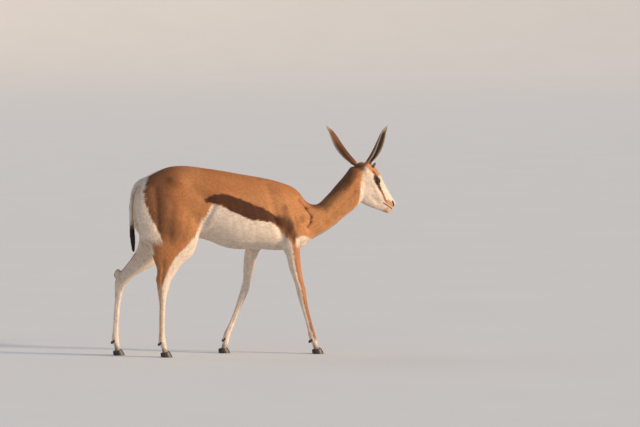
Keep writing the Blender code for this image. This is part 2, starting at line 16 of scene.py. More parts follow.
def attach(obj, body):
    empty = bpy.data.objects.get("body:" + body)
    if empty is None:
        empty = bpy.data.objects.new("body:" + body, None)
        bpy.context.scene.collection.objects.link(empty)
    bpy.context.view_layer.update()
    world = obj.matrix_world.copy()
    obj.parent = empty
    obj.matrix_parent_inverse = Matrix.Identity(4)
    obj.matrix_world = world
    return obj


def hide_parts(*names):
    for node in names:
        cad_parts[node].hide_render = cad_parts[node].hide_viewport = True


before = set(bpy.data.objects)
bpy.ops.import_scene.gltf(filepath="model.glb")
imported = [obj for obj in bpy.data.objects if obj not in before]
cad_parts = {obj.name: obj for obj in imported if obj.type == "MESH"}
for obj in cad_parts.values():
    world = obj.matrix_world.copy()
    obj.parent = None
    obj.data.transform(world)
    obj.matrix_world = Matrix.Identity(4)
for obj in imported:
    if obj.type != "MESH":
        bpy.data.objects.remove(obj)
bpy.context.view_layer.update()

# ---- driving dimensions, as in the solids ----
MIDDLE_X = 0.0078  # middle of the animal's length, measured from the point under its ribs
HEAD_PITCH = radians(46.5)  # of the skull's axis, below the horizon
HEAD_TURN = radians(10)  # of the skull, to the animal's left
HEAD_ROOT = Vector((0.455, 0.0, 0.775))  # inside the skull, behind the ears
EYE_AT = (0.0785, 0.0235, 0.0320)  # along, above and beside the skull's axis
EYE_RADIUS = 0.0150
HORN_AT = (0.0300, 0.0580, 0.0190)
HORN_LENGTH = 0.019
HORN_RADIUS = 0.0065
EAR_AT = (-0.0040, 0.0240, 0.0300)

HOOF_LENGTH = 0.046
HOOF_WIDTH = 0.0175
HOOF_HEIGHT = 0.026
TOE_SPREAD = 0.0105  # from a foot's middle to the middle of each of its two hooves
DEWCLAW_LENGTH = 0.014
DEWCLAW_RADIUS = 0.0048

# Stations of the body: place x, y, z, then half its width, its reach on the upper or front
# side, its reach on the lower or back side, and how much wider its upper or front side is.
TRUNK = (
    (-0.505, 0.0, 0.690, 0.058, 0.055, 0.080, 0.00),
    (-0.470, 0.0, 0.685, 0.082, 0.086, 0.110, 0.00),
    (-0.410, 0.0, 0.675, 0.096, 0.124, 0.140, -0.05),
    (-0.340, 0.0, 0.665, 0.100, 0.143, 0.155, -0.10),
    (-0.250, 0.0, 0.650, 0.104, 0.148, 0.150, -0.12),
    (-0.165, 0.0, 0.632, 0.112, 0.153, 0.153, -0.15),
    (-0.080, 0.0, 0.610, 0.118, 0.159, 0.163, -0.18),
    (0.010, 0.0, 0.600, 0.118, 0.153, 0.154, -0.18),
    (0.090, 0.0, 0.585, 0.108, 0.147, 0.147, -0.15),
    (0.150, 0.0, 0.573, 0.092, 0.134, 0.136, -0.10),
    (0.205, 0.0, 0.563, 0.075, 0.094, 0.108, -0.05),
    (0.250, 0.0, 0.560, 0.056, 0.069, 0.078, 0.00),
    (0.280, 0.0, 0.562, 0.036, 0.045, 0.048, 0.00),
)
NECK = (
    (0.165, 0.0, 0.580, 0.072, 0.085, 0.100, 0.00),
    (0.235, 0.0, 0.575, 0.066, 0.068, 0.090, 0.00),
    (0.292, 0.0, 0.592, 0.056, 0.047, 0.075, 0.00),
    (0.345, 0.0, 0.637, 0.050, 0.044, 0.077, 0.00),
    (0.393, 0.0, 0.685, 0.047, 0.047, 0.085, 0.00),
    (0.432, 0.0, 0.735, 0.044, 0.043, 0.076, 0.00),
    (0.455, 0.0, 0.775, 0.036, 0.038, 0.040, 0.00),
)
# Along the skull's axis instead of x, y, z, with the same four shape values after it.
HEAD = (
    (-0.020, 0.024, 0.038, 0.050, 0.00),
    (0.005, 0.034, 0.053, 0.068, 0.05),
    (0.033, 0.038, 0.066, 0.076, 0.12),
    (0.057, 0.040, 0.067, 0.080, 0.18),
    (0.083, 0.040, 0.061, 0.086, 0.22),
    (0.108, 0.036, 0.054, 0.085, 0.24),
    (0.133, 0.031, 0.049, 0.078, 0.22),
    (0.158, 0.0265, 0.043, 0.0655, 0.18),
    (0.184, 0.0235, 0.0385, 0.0525, 0.12),
    (0.204, 0.0215, 0.0350, 0.0420, 0.06),
    (0.219, 0.0185, 0.0300, 0.0330, 0.00),
    (0.2290, 0.0130, 0.0180, 0.0240, 0.00),
    (0.2350, 0.0065, 0.0070, 0.0130, 0.00),
)
TAIL = (
    (-0.465, 0.0, 0.742, 0.020, 0.018, 0.020, 0.0),
    (-0.496, 0.0, 0.738, 0.017, 0.014, 0.016, 0.0),
    (-0.522, 0.0, 0.712, 0.0135, 0.011, 0.011, 0.0),
    (-0.535, 0.0, 0.665, 0.0120, 0.009, 0.009, 0.0),
    (-0.538, 0.0, 0.610, 0.0110, 0.0085, 0.0085, 0.0),
    (-0.537, 0.0, 0.560, 0.0120, 0.010, 0.010, 0.0),
    (-0.534, 0.0, 0.515, 0.0150, 0.013, 0.013, 0.0),
    (-0.531, 0.0, 0.475, 0.0130, 0.011, 0.011, 0.0),
    (-0.529, 0.0, 0.440, 0.0050, 0.004, 0.004, 0.0),
)
LEGS = {
    "fore_right": (
        (0.132, -0.062, 0.535, 0.038, 0.055, 0.060, 0.0),
        (0.140, -0.066, 0.475, 0.034, 0.042, 0.046, 0.0),
        (0.148, -0.068, 0.430, 0.027, 0.033, 0.032, 0.0),
        (0.160, -0.069, 0.362, 0.0205, 0.0265, 0.0255, 0.0),
        (0.1755, -0.069, 0.302, 0.0165, 0.0215, 0.0190, 0.0),
        (0.1845, -0.069, 0.270, 0.0175, 0.0215, 0.0205, 0.0),
        (0.1910, -0.069, 0.238, 0.0150, 0.0185, 0.0185, 0.0),
        (0.2045, -0.069, 0.185, 0.0108, 0.0155, 0.0150, 0.0),
        (0.2230, -0.069, 0.118, 0.0105, 0.0140, 0.0140, 0.0),
        (0.2375, -0.069, 0.064, 0.0148, 0.0150, 0.0160, 0.0),
        (0.2455, -0.069, 0.044, 0.0140, 0.0125, 0.0135, 0.0),
    ),
    "fore_left": (
        (0.085, 0.062, 0.555, 0.040, 0.060, 0.065, 0.0),
        (0.035, 0.066, 0.495, 0.034, 0.042, 0.046, 0.0),
        (0.006, 0.068, 0.440, 0.027, 0.031, 0.033, 0.0),
        (-0.010, 0.069, 0.365, 0.0205, 0.024, 0.025, 0.0),
        (-0.019, 0.069, 0.305, 0.0160, 0.018, 0.018, 0.0),
        (-0.026, 0.069, 0.273, 0.0170, 0.0185, 0.019, 0.0),
        (-0.038, 0.069, 0.242, 0.0150, 0.0160, 0.017, 0.0),
        (-0.059, 0.069, 0.188, 0.0108, 0.0130, 0.0135, 0.0),
        (-0.087, 0.069, 0.120, 0.0105, 0.0125, 0.0130, 0.0),
        (-0.109, 0.069, 0.066, 0.0148, 0.0145, 0.0160, 0.0),
        (-0.113, 0.069, 0.044, 0.0140, 0.0125, 0.0135, 0.0),
    ),
    "hind_right": (
        (-0.395, -0.052, 0.700, 0.045, 0.095, 0.090, 0.0),
        (-0.383, -0.060, 0.620, 0.050, 0.135, 0.135, 0.0),
        (-0.384, -0.066, 0.540, 0.047, 0.136, 0.137, 0.0),
        (-0.383, -0.072, 0.470, 0.039, 0.108, 0.110, 0.0),
        (-0.395, -0.075, 0.420, 0.031, 0.076, 0.074, 0.0),
        (-0.403, -0.076, 0.372, 0.0235, 0.047, 0.046, 0.0),
        (-0.4150, -0.076, 0.325, 0.0200, 0.030, 0.032, 0.0),
        (-0.4190, -0.076, 0.296, 0.0200, 0.026, 0.027, 0.0),
        (-0.4210, -0.076, 0.262, 0.0165, 0.0185, 0.0200, 0.0),
        (-0.4215, -0.076, 0.225, 0.0120, 0.0140, 0.0145, 0.0),
        (-0.4235, -0.076, 0.160, 0.0105, 0.0130, 0.0135, 0.0),
        (-0.4240, -0.076, 0.105, 0.0105, 0.0128, 0.0132, 0.0),
        (-0.4220, -0.076, 0.066, 0.0148, 0.0150, 0.0165, 0.0),
        (-0.4160, -0.076, 0.044, 0.0140, 0.0125, 0.0135, 0.0),
    ),
    "hind_left": (
        (-0.405, 0.052, 0.700, 0.045, 0.095, 0.090, 0.0),
        (-0.398, 0.060, 0.620, 0.050, 0.125, 0.130, 0.0),
        (-0.398, 0.066, 0.550, 0.047, 0.105, 0.128, 0.0),
        (-0.412, 0.072, 0.485, 0.041, 0.078, 0.090, 0.0),
        (-0.446, 0.075, 0.432, 0.034, 0.060, 0.060, 0.0),
        (-0.491, 0.077, 0.387, 0.0260, 0.040, 0.041, 0.0),
        (-0.532, 0.077, 0.350, 0.0205, 0.028, 0.031, 0.0),
        (-0.5620, 0.077, 0.317, 0.0200, 0.0255, 0.0290, 0.0),
        (-0.5745, 0.077, 0.280, 0.0170, 0.0190, 0.0205, 0.0),
        (-0.5800, 0.077, 0.240, 0.0120, 0.0142, 0.0145, 0.0),
        (-0.5860, 0.077, 0.170, 0.0105, 0.0130, 0.0135, 0.0),
        (-0.5900, 0.077, 0.105, 0.0105, 0.0128, 0.0132, 0.0),
        (-0.5910, 0.077, 0.066, 0.0148, 0.0150, 0.0165, 0.0),
        (-0.5870, 0.077, 0.044, 0.0140, 0.0125, 0.0135, 0.0),
    ),
}
# Where each foot's middle stands on the floor.
FEET = {
    "fore_right": (0.2600, -0.069),
    "fore_left": (-0.1170, 0.069),
    "hind_right": (-0.4030, -0.076),
    "hind_left": (-0.5750, 0.077),
}
# Muscles and bony points that the lofts leave out: middle, radii, and lean about Y in degrees.
MUSCLES = (
    ((0.118, -0.060, 0.600), (0.060, 0.030, 0.115), -24),  # right shoulder blade
    ((0.108, 0.060, 0.600), (0.060, 0.030, 0.115), -24),  # left shoulder blade
    ((0.168, -0.058, 0.520), (0.062, 0.030, 0.048), 28),  # right upper arm
    ((0.128, 0.060, 0.525), (0.085, 0.028, 0.048), 28),  # left upper arm
    ((0.185, 0.0, 0.500), (0.056, 0.050, 0.055), 0),  # breast
    ((0.440, 0.0, 0.770), (0.029, 0.028, 0.026), 0),  # nape
    ((-0.455, -0.060, 0.630), (0.082, 0.040, 0.110), 8),  # right buttock
    ((-0.455, 0.060, 0.630), (0.082, 0.040, 0.110), 8),  # left buttock
    ((-0.345, -0.072, 0.738), (0.055, 0.020, 0.026), 10),  # right hip bone
    ((-0.345, 0.072, 0.738), (0.055, 0.020, 0.026), 10),  # left hip bone
    ((-0.4400, -0.076, 0.334), (0.0100, 0.0105, 0.022), 12),  # right point of hock
    ((-0.5850, 0.077, 0.350), (0.0100, 0.0105, 0.022), 30),  # left point of hock
)
# The same along, above and beside the skull's axis, on both sides of the head.
FACE = (
    ((0.0765, 0.0215, 0.0285), (0.026, 0.021, 0.0165)),  # eye socket and brow
    ((0.087, -0.030, 0.0190), (0.042, 0.036, 0.0150)),  # cheek
    ((0.212, 0.019, 0.0100), (0.0140, 0.0130, 0.0120)),  # nostril
    ((0.200, 0.006, 0.0130), (0.028, 0.0120, 0.0095)),  # upper lip
    ((0.213, -0.021, 0.0065), (0.020, 0.0120, 0.0105)),  # chin
    ((0.005, 0.030, 0.0320), (0.020, 0.022, 0.0150)),  # root of the ear
)
# Each ear: its side of the head, its tip, and the way its opening faces.
EARS = (
    (-1, (0.5600, -0.0880, 0.9700), (0.71, -0.70, -0.05)),
    (1, (0.3340, 0.0740, 0.9660), (-0.78, 0.60, -0.10)),
)
EAR_WIDTH = 0.082  # across its middle, laid flat
EAR_BOW = 0.0140  # how far its middle bows towards its opening

FORE_FROM = -0.20  # the fore legs are ahead of this x, the hind legs behind it
LEG_COAT_TOP = 0.44  # below this z the coat belongs to the legs
EAR_HALO = 1.9  # hair this many cup radii from an ear's middle line still belongs to it

# ---- the skin ----
SKIN_GRAIN = 0.0035  # size of the cells that fuse the limbs into one skin
SEED = 11
# How often smoothing runs over the whole body, then over its trunk, then over neck and head.
BODY_ROUNDS, TRUNK_ROUNDS, NECK_ROUNDS = 8, 55, 14
EAR_SKIN = 0.0017  # thickness of an ear without its hair
EYE_SLIT = (0.0134, 0.0092, 0.0070)  # half length of the opening, its rise and its drop
# Grooves of both flanks, seen from the side: from x, z to x, z, how deep and how wide.
# A negative depth makes a ridge.
BODY_GROOVES = (
    ((0.045, 0.715), (0.068, 0.590), 0.0060, 0.020),  # behind the shoulder blade
    ((0.066, 0.575), (0.104, 0.500), 0.0065, 0.013),  # behind the upper arm
    ((0.100, 0.690), (0.150, 0.590), -0.0012, 0.010),  # spine of the shoulder blade
    ((0.150, 0.705), (0.205, 0.625), 0.0040, 0.014),  # in front of it
    ((0.183, 0.655), (0.213, 0.620), 0.0034, 0.007),  # round the point of the shoulder
    ((0.213, 0.620), (0.2340, 0.584), 0.0060, 0.006),
    ((0.2340, 0.584), (0.2310, 0.559), 0.0064, 0.006),
    ((0.2310, 0.559), (0.2180, 0.541), 0.0060, 0.006),
    ((0.152, 0.590), (0.165, 0.545), 0.0032, 0.012),  # between the shoulder's muscles
    ((0.165, 0.545), (0.140, 0.500), 0.0026, 0.010),
    ((-0.200, 0.640), (-0.240, 0.560), 0.0070, 0.014),  # fold of the flank
    ((-0.232, 0.668), (-0.290, 0.718), 0.0060, 0.026),  # hollow of the flank
    ((-0.300, 0.735), (-0.345, 0.750), -0.0012, 0.014),  # point of the hip
    ((-0.450, 0.715), (-0.448, 0.540), 0.0048, 0.013),  # along the thigh
    ((-0.385, 0.650), (-0.402, 0.500), 0.0034, 0.016),
    ((-0.318, 0.600), (-0.338, 0.500), 0.0032, 0.016),
    ((0.300, 0.560), (0.430, 0.690), 0.0042, 0.012),  # along the windpipe
    ((0.295, 0.620), (0.400, 0.735), 0.0026, 0.012),  # along the nape's muscle
)
RIB_SPACING = 0.033
RIB_DEPTH = 0.0003
LASHES = 30  # along each upper lid
# Lines of the head, along and above the skull's axis.
MOUTH = (
    (0.2385, -0.0010), (0.2288, -0.0025), (0.2100, -0.0065), (0.1910, -0.0122), (0.1780, -0.0160),
)
NOSTRIL = ((0.2215, 0.0100), (0.2130, 0.0165), (0.2030, 0.0200))
NOSE_PAD = ((0.003, 0.009, 0.014, 0.021), (0.0036, 0.0090, 0.0120, 0.0080))  # height, half width
FACE_STRIPE = ((0.0830, 0.0190), (0.1180, 0.0120), (0.1500, 0.0060), (0.1860, -0.0040))
# Grooves of the head: from along, above to along, above, how deep, how wide, and how far from
# the skull's middle they begin. A negative depth makes a ridge.
FACE_GROOVES = (
    (NOSTRIL[0], NOSTRIL[1], 0.0040, 0.0021, 0.004),
    (NOSTRIL[1], NOSTRIL[2], 0.0026, 0.0019, 0.004),
    ((0.2110, 0.0240), (0.2010, 0.0265), -0.0010, 0.0035, 0.006),  # wing of the nostril
    ((0.2180, 0.0055), (0.2050, 0.0090), -0.0008, 0.0035, 0.006),
    ((0.0960, 0.0170), (0.1500, 0.0050), 0.0018, 0.0070, 0.012),  # before the eye
    ((0.0700, 0.0010), (0.1450, -0.0120), -0.0014, 0.0070, 0.012),  # cheek bone
    ((0.0420, 0.0420), (0.0250, 0.0240), 0.0026, 0.0090, 0.016),  # temple
    ((0.0600, 0.0400), (0.0860, 0.0360), -0.0016, 0.0060, 0.016),  # brow
    ((0.0450, -0.0600), (0.1100, -0.0680), -0.0014, 0.0080, 0.010),  # edge of the jaw
    ((0.1150, -0.0400), (0.1600, -0.0330), 0.0022, 0.0090, 0.010),  # before the cheek
    ((0.0300, -0.0300), (0.0200, -0.0700), 0.0020, 0.0080, 0.010),  # behind the jaw
)

# ---- the coat ----
# For each kind of hair: how long, how wide, how far apart, and how high its tips stand.
HAIR = {
    "body": (0.0130, 0.0023, 0.0031, 0.0013),
    "belly": (0.0160, 0.0025, 0.0033, 0.0017),
    "rump": (0.0170, 0.0024, 0.0031, 0.0019),
    "neck": (0.0130, 0.0021, 0.0029, 0.0013),
    "face": (0.0056, 0.0011, 0.0017, 0.0006),
    "muzzle": (0.0034, 0.0008, 0.0015, 0.0004),
    "leg": (0.0078, 0.0015, 0.0023, 0.0008),
    "ear": (0.0062, 0.0012, 0.0020, 0.0006),
    "tail": (0.0150, 0.0018, 0.0025, 0.0018),
    "tuft": (0.0420, 0.0024, 0.0026, 0.0060),
}
# The dark band along each flank: x, z of its middle and half its height.
BAND = (
    (-0.240, 0.660, 0.004), (-0.215, 0.664, 0.014), (-0.165, 0.664, 0.0245),
    (-0.129, 0.647, 0.0330), (-0.087, 0.632, 0.0345), (-0.046, 0.616, 0.0345),
    (-0.004, 0.604, 0.0320), (0.037, 0.591, 0.0225), (0.070, 0.575, 0.0150),
    (0.095, 0.560, 0.0120),
)
# Dark patches of both shoulders, mostly painted shade and partly the band's dark hair behind the
# upper arm: from x, z to x, z, how wide, and how dark.
SHOULDER_SHADE_MARKS = (
    ((0.088, 0.568), (0.128, 0.550), 0.042, 0.95),
    ((0.128, 0.550), (0.150, 0.505), 0.032, 0.80),
    ((0.112, 0.622), (0.120, 0.575), 0.024, 0.55),
    ((0.190, 0.582), (0.194, 0.572), 0.020, 0.40),
    ((0.183, 0.655), (0.213, 0.620), 0.007, 0.45),
    ((0.213, 0.620), (0.2340, 0.584), 0.008, 0.75),
    ((0.2340, 0.584), (0.2310, 0.559), 0.008, 0.80),
    ((0.2310, 0.559), (0.2180, 0.541), 0.008, 0.70),
)
# The upper edge of the white belly: x, z.
BELLY_LINE = (
    (-0.290, 0.500), (-0.262, 0.535), (-0.238, 0.585), (-0.219, 0.622), (-0.205, 0.645),
    (-0.170, 0.636), (-0.145, 0.621), (-0.108, 0.605), (-0.070, 0.590), (-0.033, 0.576),
    (0.008, 0.569), (0.045, 0.566), (0.073, 0.549), (0.106, 0.518), (0.135, 0.490),
    (0.1465, 0.452), (0.152, 0.400),
)
# How far behind the thigh's front edge its white ends, at each height.
THIGH_WHITE = (
    (0.280, 0.034), (0.330, 0.036), (0.370, 0.044), (0.420, 0.056), (0.457, 0.058),
    (0.490, 0.046), (0.524, 0.022), (0.557, 0.010), (0.600, 0.000),
)
# The front edge of the white rump: z, x.
RUMP_LINE = (
    (0.440, -0.400), (0.480, -0.425), (0.535, -0.440), (0.597, -0.472),
    (0.652, -0.490), (0.702, -0.494), (0.763, -0.462), (0.805, -0.425),
)
CINNAMON = (0.50, 0.205, 0.075)
RUSSET = (0.36, 0.130, 0.045)
APRICOT = (0.60, 0.290, 0.120)
FOREHEAD = (0.56, 0.230, 0.085)
UMBER = (0.150, 0.062, 0.028)
CHOCOLATE = (0.052, 0.019, 0.009)
BAND_BROWN = (0.092, 0.032, 0.014)
CREAM = (0.84, 0.685, 0.55)
SHELL = (0.66, 0.50, 0.36)
SLATE = (0.036, 0.027, 0.023)
NOSE = (0.028, 0.021, 0.018)
PUPIL = (0.004, 0.004, 0.005)
IRIS = ((0.014, 0.007, 0.004), (0.040, 0.018, 0.008), (0.008, 0.006, 0.005))  # from its middle out
LID = (0.022, 0.015, 0.012)
HORN = (0.050, 0.038, 0.030)
HOOF = (0.022, 0.018, 0.016)
SUNLIGHT = (1.0, 0.78, 0.56)
SKYLIGHT = (0.78, 0.88, 1.0)
SKY = (0.66, 0.80, 1.0)
FLOOR_TINTS = ((0.74, 0.72, 0.69), (0.78, 0.76, 0.73))


# ---- shapes ----
def spline(rows, step):
    """Smooth rows through the given ones, about one every step metres of their path."""
    rows = np.array(rows, float)
    gaps = np.linalg.norm(np.diff(rows[:, :3], axis=0), axis=1)
    knots = np.concatenate([[0.0], np.cumsum(gaps)])
    slopes = np.gradient(rows, knots, axis=0)
    at = np.linspace(0.0, knots[-1], max(int(knots[-1] / step), len(rows)) + 1)
    i = np.clip(np.searchsorted(knots, at, side="right") - 1, 0, len(rows) - 2)
    h = (knots[i + 1] - knots[i])[:, None]
    t = (at - knots[i])[:, None] / h
    ends = (1 + 2 * t) * (1 - t) ** 2 * rows[i] + t * t * (3 - 2 * t) * rows[i + 1]
    turns = t * (1 - t) ** 2 * slopes[i] - t * t * (1 - t) * slopes[i + 1]
    return ends + h * turns


def skull(along, above, beside):
    """The world place of a point given along, above and beside the skull's axis."""
    forward = Vector((cos(HEAD_PITCH), 0.0, -sin(HEAD_PITCH)))
    upward = Vector((sin(HEAD_PITCH), 0.0, cos(HEAD_PITCH)))
    turned = forward * along + upward * above + Vector((0.0, beside, 0.0))
    return HEAD_ROOT + Matrix.Rotation(HEAD_TURN, 3, "Z") @ turned


def on_side(at, side):
    """The world place of a point of the head, on the given side of it."""
    return skull(at[0], at[1], side * at[2])


def close_rings(bm, loops):
    """Joins rings of the same count into a tube, and closes both its ends."""
    for one, two in zip(loops, loops[1:]):
        for k in range(len(one)):
            n = (k + 1) % len(one)
            bm.faces.new((one[k], one[n], two[n], two[k]))
    bm.faces.new(loops[0][::-1])
    bm.faces.new(loops[-1])


def loft(bm, rows, side=(0.0, 1.0, 0.0), step=0.010, sides=28):
    """Adds a closed tube of rings along the rows, each ring square to the path."""
    rings = spline(rows, step)
    alongs = np.gradient(rings[:, :3], axis=0)
    loops = []
    for (x, y, z, width, front, back, keel), along in zip(rings, alongs, strict=True):
        along = Vector(along).normalized()
        across = Vector(side)
        across = (across - along * across.dot(along)).normalized()
        outward = along.cross(across)
        loop = []
        for k in range(sides):
            c, s = cos(2 * pi * k / sides), sin(2 * pi * k / sides)
            reach = front if s > 0 else back
            place = Vector((x, y, z)) + across * (width * c * (1 + keel * s))
            loop.append(bm.verts.new(place + outward * (reach * s)))
        loops.append(loop)
    close_rings(bm, loops)


def muscle_share(place):
    """How far the flesh at a place is softened: fully on the trunk, not on limbs, head or tail."""
    low = (place.z - 0.42) / 0.10
    fore = (0.36 - place.x) / 0.10
    beside_tail = max((place.x + 0.520) / 0.004, (abs(place.y) - 0.020) / 0.008)
    return min(max(min(low, fore, beside_tail), 0.0), 1.0)


def ball(bm, middle, radii, turn):
    """Adds an ellipsoid with its radii along the axes of the turn matrix."""
    place = Matrix.Translation(middle) @ turn.to_4x4() @ Matrix.Diagonal((*radii, 1.0))
    bmesh.ops.create_icosphere(bm, subdivisions=3, radius=1.0, matrix=place)


def skull_turn():
    """The turn that lays a ball's axes along, beside and above the skull's axis."""
    columns = [skull(*p) - skull(0, 0, 0) for p in ((1, 0, 0), (0, 0, 1), (0, 1, 0))]
    return Matrix(columns).transposed()


def toes(foot):
    """For each of a foot's two toes, its middle on the floor and its outward side."""
    x, y = FEET[foot]
    return [(Vector((x, y + side * TOE_SPREAD, 0.0)), side) for side in (-1, 1)]


def dewclaws(foot):
    """For each of a foot's two dewclaws, its root behind the fetlock and its direction."""
    x, y, z = LEGS[foot][-2][:3]
    back = LEGS[foot][-2][5]
    direction = Vector((-0.62, 0.0, -0.78))
    return [
        (Vector((x - back * 0.62, y + side * 0.0085, z - 0.006)), direction)
        for side in (-1, 1)
    ]


def flesh_shapes():
    """Every overlapping loft and muscle of the body, in one mesh."""
    bm = bmesh.new()
    loft(bm, TRUNK)
    loft(bm, NECK)
    turned = [(*skull(row[0], 0, 0), *row[1:]) for row in HEAD]
    loft(bm, turned, side=skull(0, 0, 1) - skull(0, 0, 0), step=0.006)
    loft(bm, TAIL, step=0.006, sides=16)
    for name, rows in LEGS.items():
        loft(bm, rows, step=0.008, sides=24)
        x, y, z = rows[-2][:3]
        for toe, side in toes(name):
            top = (x + 0.002, y + side * 0.006, z, 0.0085, 0.011, 0.012, 0.0)
            end = (toe.x - 0.006, toe.y, 0.012, 0.0070, 0.010, 0.010, 0.0)
            loft(bm, (top, end), step=0.006, sides=16)
    for middle, radii, lean in MUSCLES:
        ball(bm, Vector(middle), radii, Matrix.Rotation(radians(lean), 3, "Y"))
    for (along, above, beside), (long, tall, wide) in FACE:
        for side in (-1, 1):
            middle = skull(along, above, side * beside)
            ball(bm, middle, (long, wide, tall), skull_turn())
    return bm


def ear_width(t):
    """The flat width of an ear at a share t of its length."""
    return np.maximum(EAR_WIDTH * (0.52 + 1.36 * t) * (1 - t**1.9) ** 0.9, 0.004)


def ear_roll(t):
    """How far round the ear's cup goes at a share t of its length."""
    return np.radians(250 - 140 * np.minimum(t / 0.85, 1.0))


def ear_shape(root, tip, opening, rows, columns, depths):
    """A leaf rolled into a cup: tight at its root, open in the middle, pointed at its tip."""
    bm = bmesh.new()
    along = (tip - root).normalized()
    face = (opening - along * opening.dot(along)).normalized()
    across = along.cross(face)
    length = (tip - root).length
    skins = []
    for depth in depths:
        grid = []
        for r in range(rows + 1):
            t = r / rows
            roll = ear_roll(t)
            bend = ear_width(t) / roll
            out = max(bend - depth, 0.0005)
            middle = root + along * (length * t) + face * (0.35 * bend + EAR_BOW * sin(pi * t))
            line = []
            for c in range(columns + 1):
                angle = roll * (c / columns - 0.5)
                place = middle + across * (out * sin(angle)) - face * (out * cos(angle))
                line.append(bm.verts.new(place))
            grid.append(line)
        skins.append(grid)
    outer, inner = skins
    for r in range(rows):
        for c in range(columns):
            bm.faces.new((outer[r][c], outer[r][c + 1], outer[r + 1][c + 1], outer[r + 1][c]))
            bm.faces.new((inner[r][c], inner[r + 1][c], inner[r + 1][c + 1], inner[r][c + 1]))
    for r in range(rows):
        bm.faces.new((outer[r + 1][0], inner[r + 1][0], inner[r][0], outer[r][0]))
        bm.faces.new((outer[r][-1], inner[r][-1], inner[r + 1][-1], outer[r + 1][-1]))
    for c in range(columns):
        bm.faces.new((outer[0][c + 1], outer[0][c], inner[0][c], inner[0][c + 1]))
        bm.faces.new((outer[-1][c], outer[-1][c + 1], inner[-1][c + 1], inner[-1][c]))
    bmesh.ops.recalc_face_normals(bm, faces=bm.faces)
    return bm


# ---- numbers for many places at once ----
def unit(rows):
    return rows / np.maximum(np.linalg.norm(rows, axis=-1, keepdims=True), 1e-9)


def ease(low, high, value):
    """Rises smoothly from 0 at low to 1 at high."""
    t = np.clip((value - low) / (high - low), 0.0, 1.0)
    return t * t * (3 - 2 * t)


def mix(one, two, share):
    return one + (np.asarray(two) - one) * share[:, None]


def wander(places, size, seed):
    """A smooth random value, mostly between -1 and 1, that changes over the given size."""
    rng = np.random.default_rng(seed)
    ways = unit(rng.normal(size=(9, 3))) * (2 * pi / size) * rng.uniform(0.6, 1.7, (9, 1))
    return np.sin(places @ ways.T + rng.uniform(0, 2 * pi, 9)).sum(axis=1) / 3.5


def along_line(at, table, value):
    """Reads a table of places and values, by its first column."""
    rows = np.array(table)
    return np.interp(at, rows[:, 0], rows[:, value])


def to_segment(places, start, end):
    """How far each place is from the straight line between two points."""
    start, end = np.array(start), np.array(end)
    way = end - start
    share = np.clip((places - start) @ way / (way @ way), 0.0, 1.0)
    return np.linalg.norm(places - start - share[:, None] * way, axis=1)


def to_path(places, points):
    """How far each place is from the straight lengths between points."""
    return np.min([to_segment(places, *ends) for ends in zip(points, points[1:])], axis=0)


SKULL_AXES = np.array([skull(*axis) - skull(0, 0, 0) for axis in np.eye(3)])


def in_skull(places):
    """Places as distances along, above and beside the skull's axis."""
    return (places - np.array(HEAD_ROOT)) @ SKULL_AXES.T


def past_throat(places):
    """How far each place is ahead of the line from the throat to behind the ears."""
    along, above, _ = in_skull(places).T
    return along - 0.003 - 0.66 * (0.010 - above)


def tail_share(places):
    """1 on the hanging length of the tail, 0 elsewhere."""
    rows = np.array(TAIL)[::-1]
    x, _, z = places.T
    away = np.hypot(x - np.interp(z, rows[:, 2], rows[:, 0]), places[:, 1])
    return ease(0.0215, 0.0185, away) * ease(0.700, 0.680, z) * (z > 0.43)


def in_ear(places, side, tip, opening):
    """Share of the ear's length, share of the way round its cup, and the cup's middle line."""
    root, tip, opening = (np.array(v) for v in (on_side(EAR_AT, side), tip, opening))
    along = unit(tip - root)
    face = unit(opening - along * (opening @ along))
    across = np.cross(along, face)
    share = (places - root) @ along / np.linalg.norm(tip - root)
    held = np.clip(share, 0.0, 1.0)
    bend = ear_width(held) / ear_roll(held)
    ahead = 0.35 * bend + EAR_BOW * np.sin(pi * held)
    middle = root + along * ((places - root) @ along)[:, None] + face * ahead[:, None]
    away = places - middle
    angle = np.arctan2(away @ across, -(away @ face))
    around = np.abs(angle) / (ear_roll(held) / 2)
    near = np.linalg.norm(away, axis=1) / bend
    return share, around, near, unit(away)


def limb_paths():
    """Places, radii and direction of the hair along every loft of the body."""
    rows = {"trunk": TRUNK, "neck": NECK, "tail": TAIL, **LEGS}
    rows["head"] = [(*skull(row[0], 0, 0), *row[1:]) for row in HEAD]
    paths = {}
    for name, table in rows.items():
        path = spline(table, 0.008)
        ways = unit(np.gradient(path[:, :3], axis=0))
        if name in ("neck", "head"):
            ways = -ways
        if name == "trunk":
            ways = unit(-ways + np.array((0.0, 0.0, -0.12)))
        paths[name] = (path[:, :3], path[:, 3:6].mean(axis=1), ways)
    return paths


def survey(places):
    """For each place and loft: the hair's way, and the distance over the loft's radius."""
    paths = limb_paths()
    gaps = np.empty((len(places), len(paths)))
    ways = np.empty((len(places), len(paths), 3))
    for start in range(0, len(places), 8000):
        part = slice(start, start + 8000)
        for i, (middles, radii, leads) in enumerate(paths.values()):
            far = np.linalg.norm(places[part, None] - middles[None], axis=2) / radii
            nearest = far.argmin(axis=1)
            gaps[part, i] = far[np.arange(len(nearest)), nearest]
            ways[part, i] = leads[nearest]
    return ways, gaps


# ---- objects ----
def link_object(name, data):
    """A new object in the scene, with the given data."""
    thing = bpy.data.objects.new(name, data)
    bpy.context.collection.objects.link(thing)
    return thing


def add_object(name, bm):
    """A new object from a bmesh, which it frees."""
    mesh = bpy.data.meshes.new(name)
    bm.to_mesh(mesh)
    bm.free()
    return link_object(name, mesh)


def edit_mesh(mesh, change):
    """Changes a mesh by way of a bmesh."""
    bm = bmesh.new()
    bm.from_mesh(mesh)
    change(bm)
    bm.to_mesh(mesh)
    bm.free()


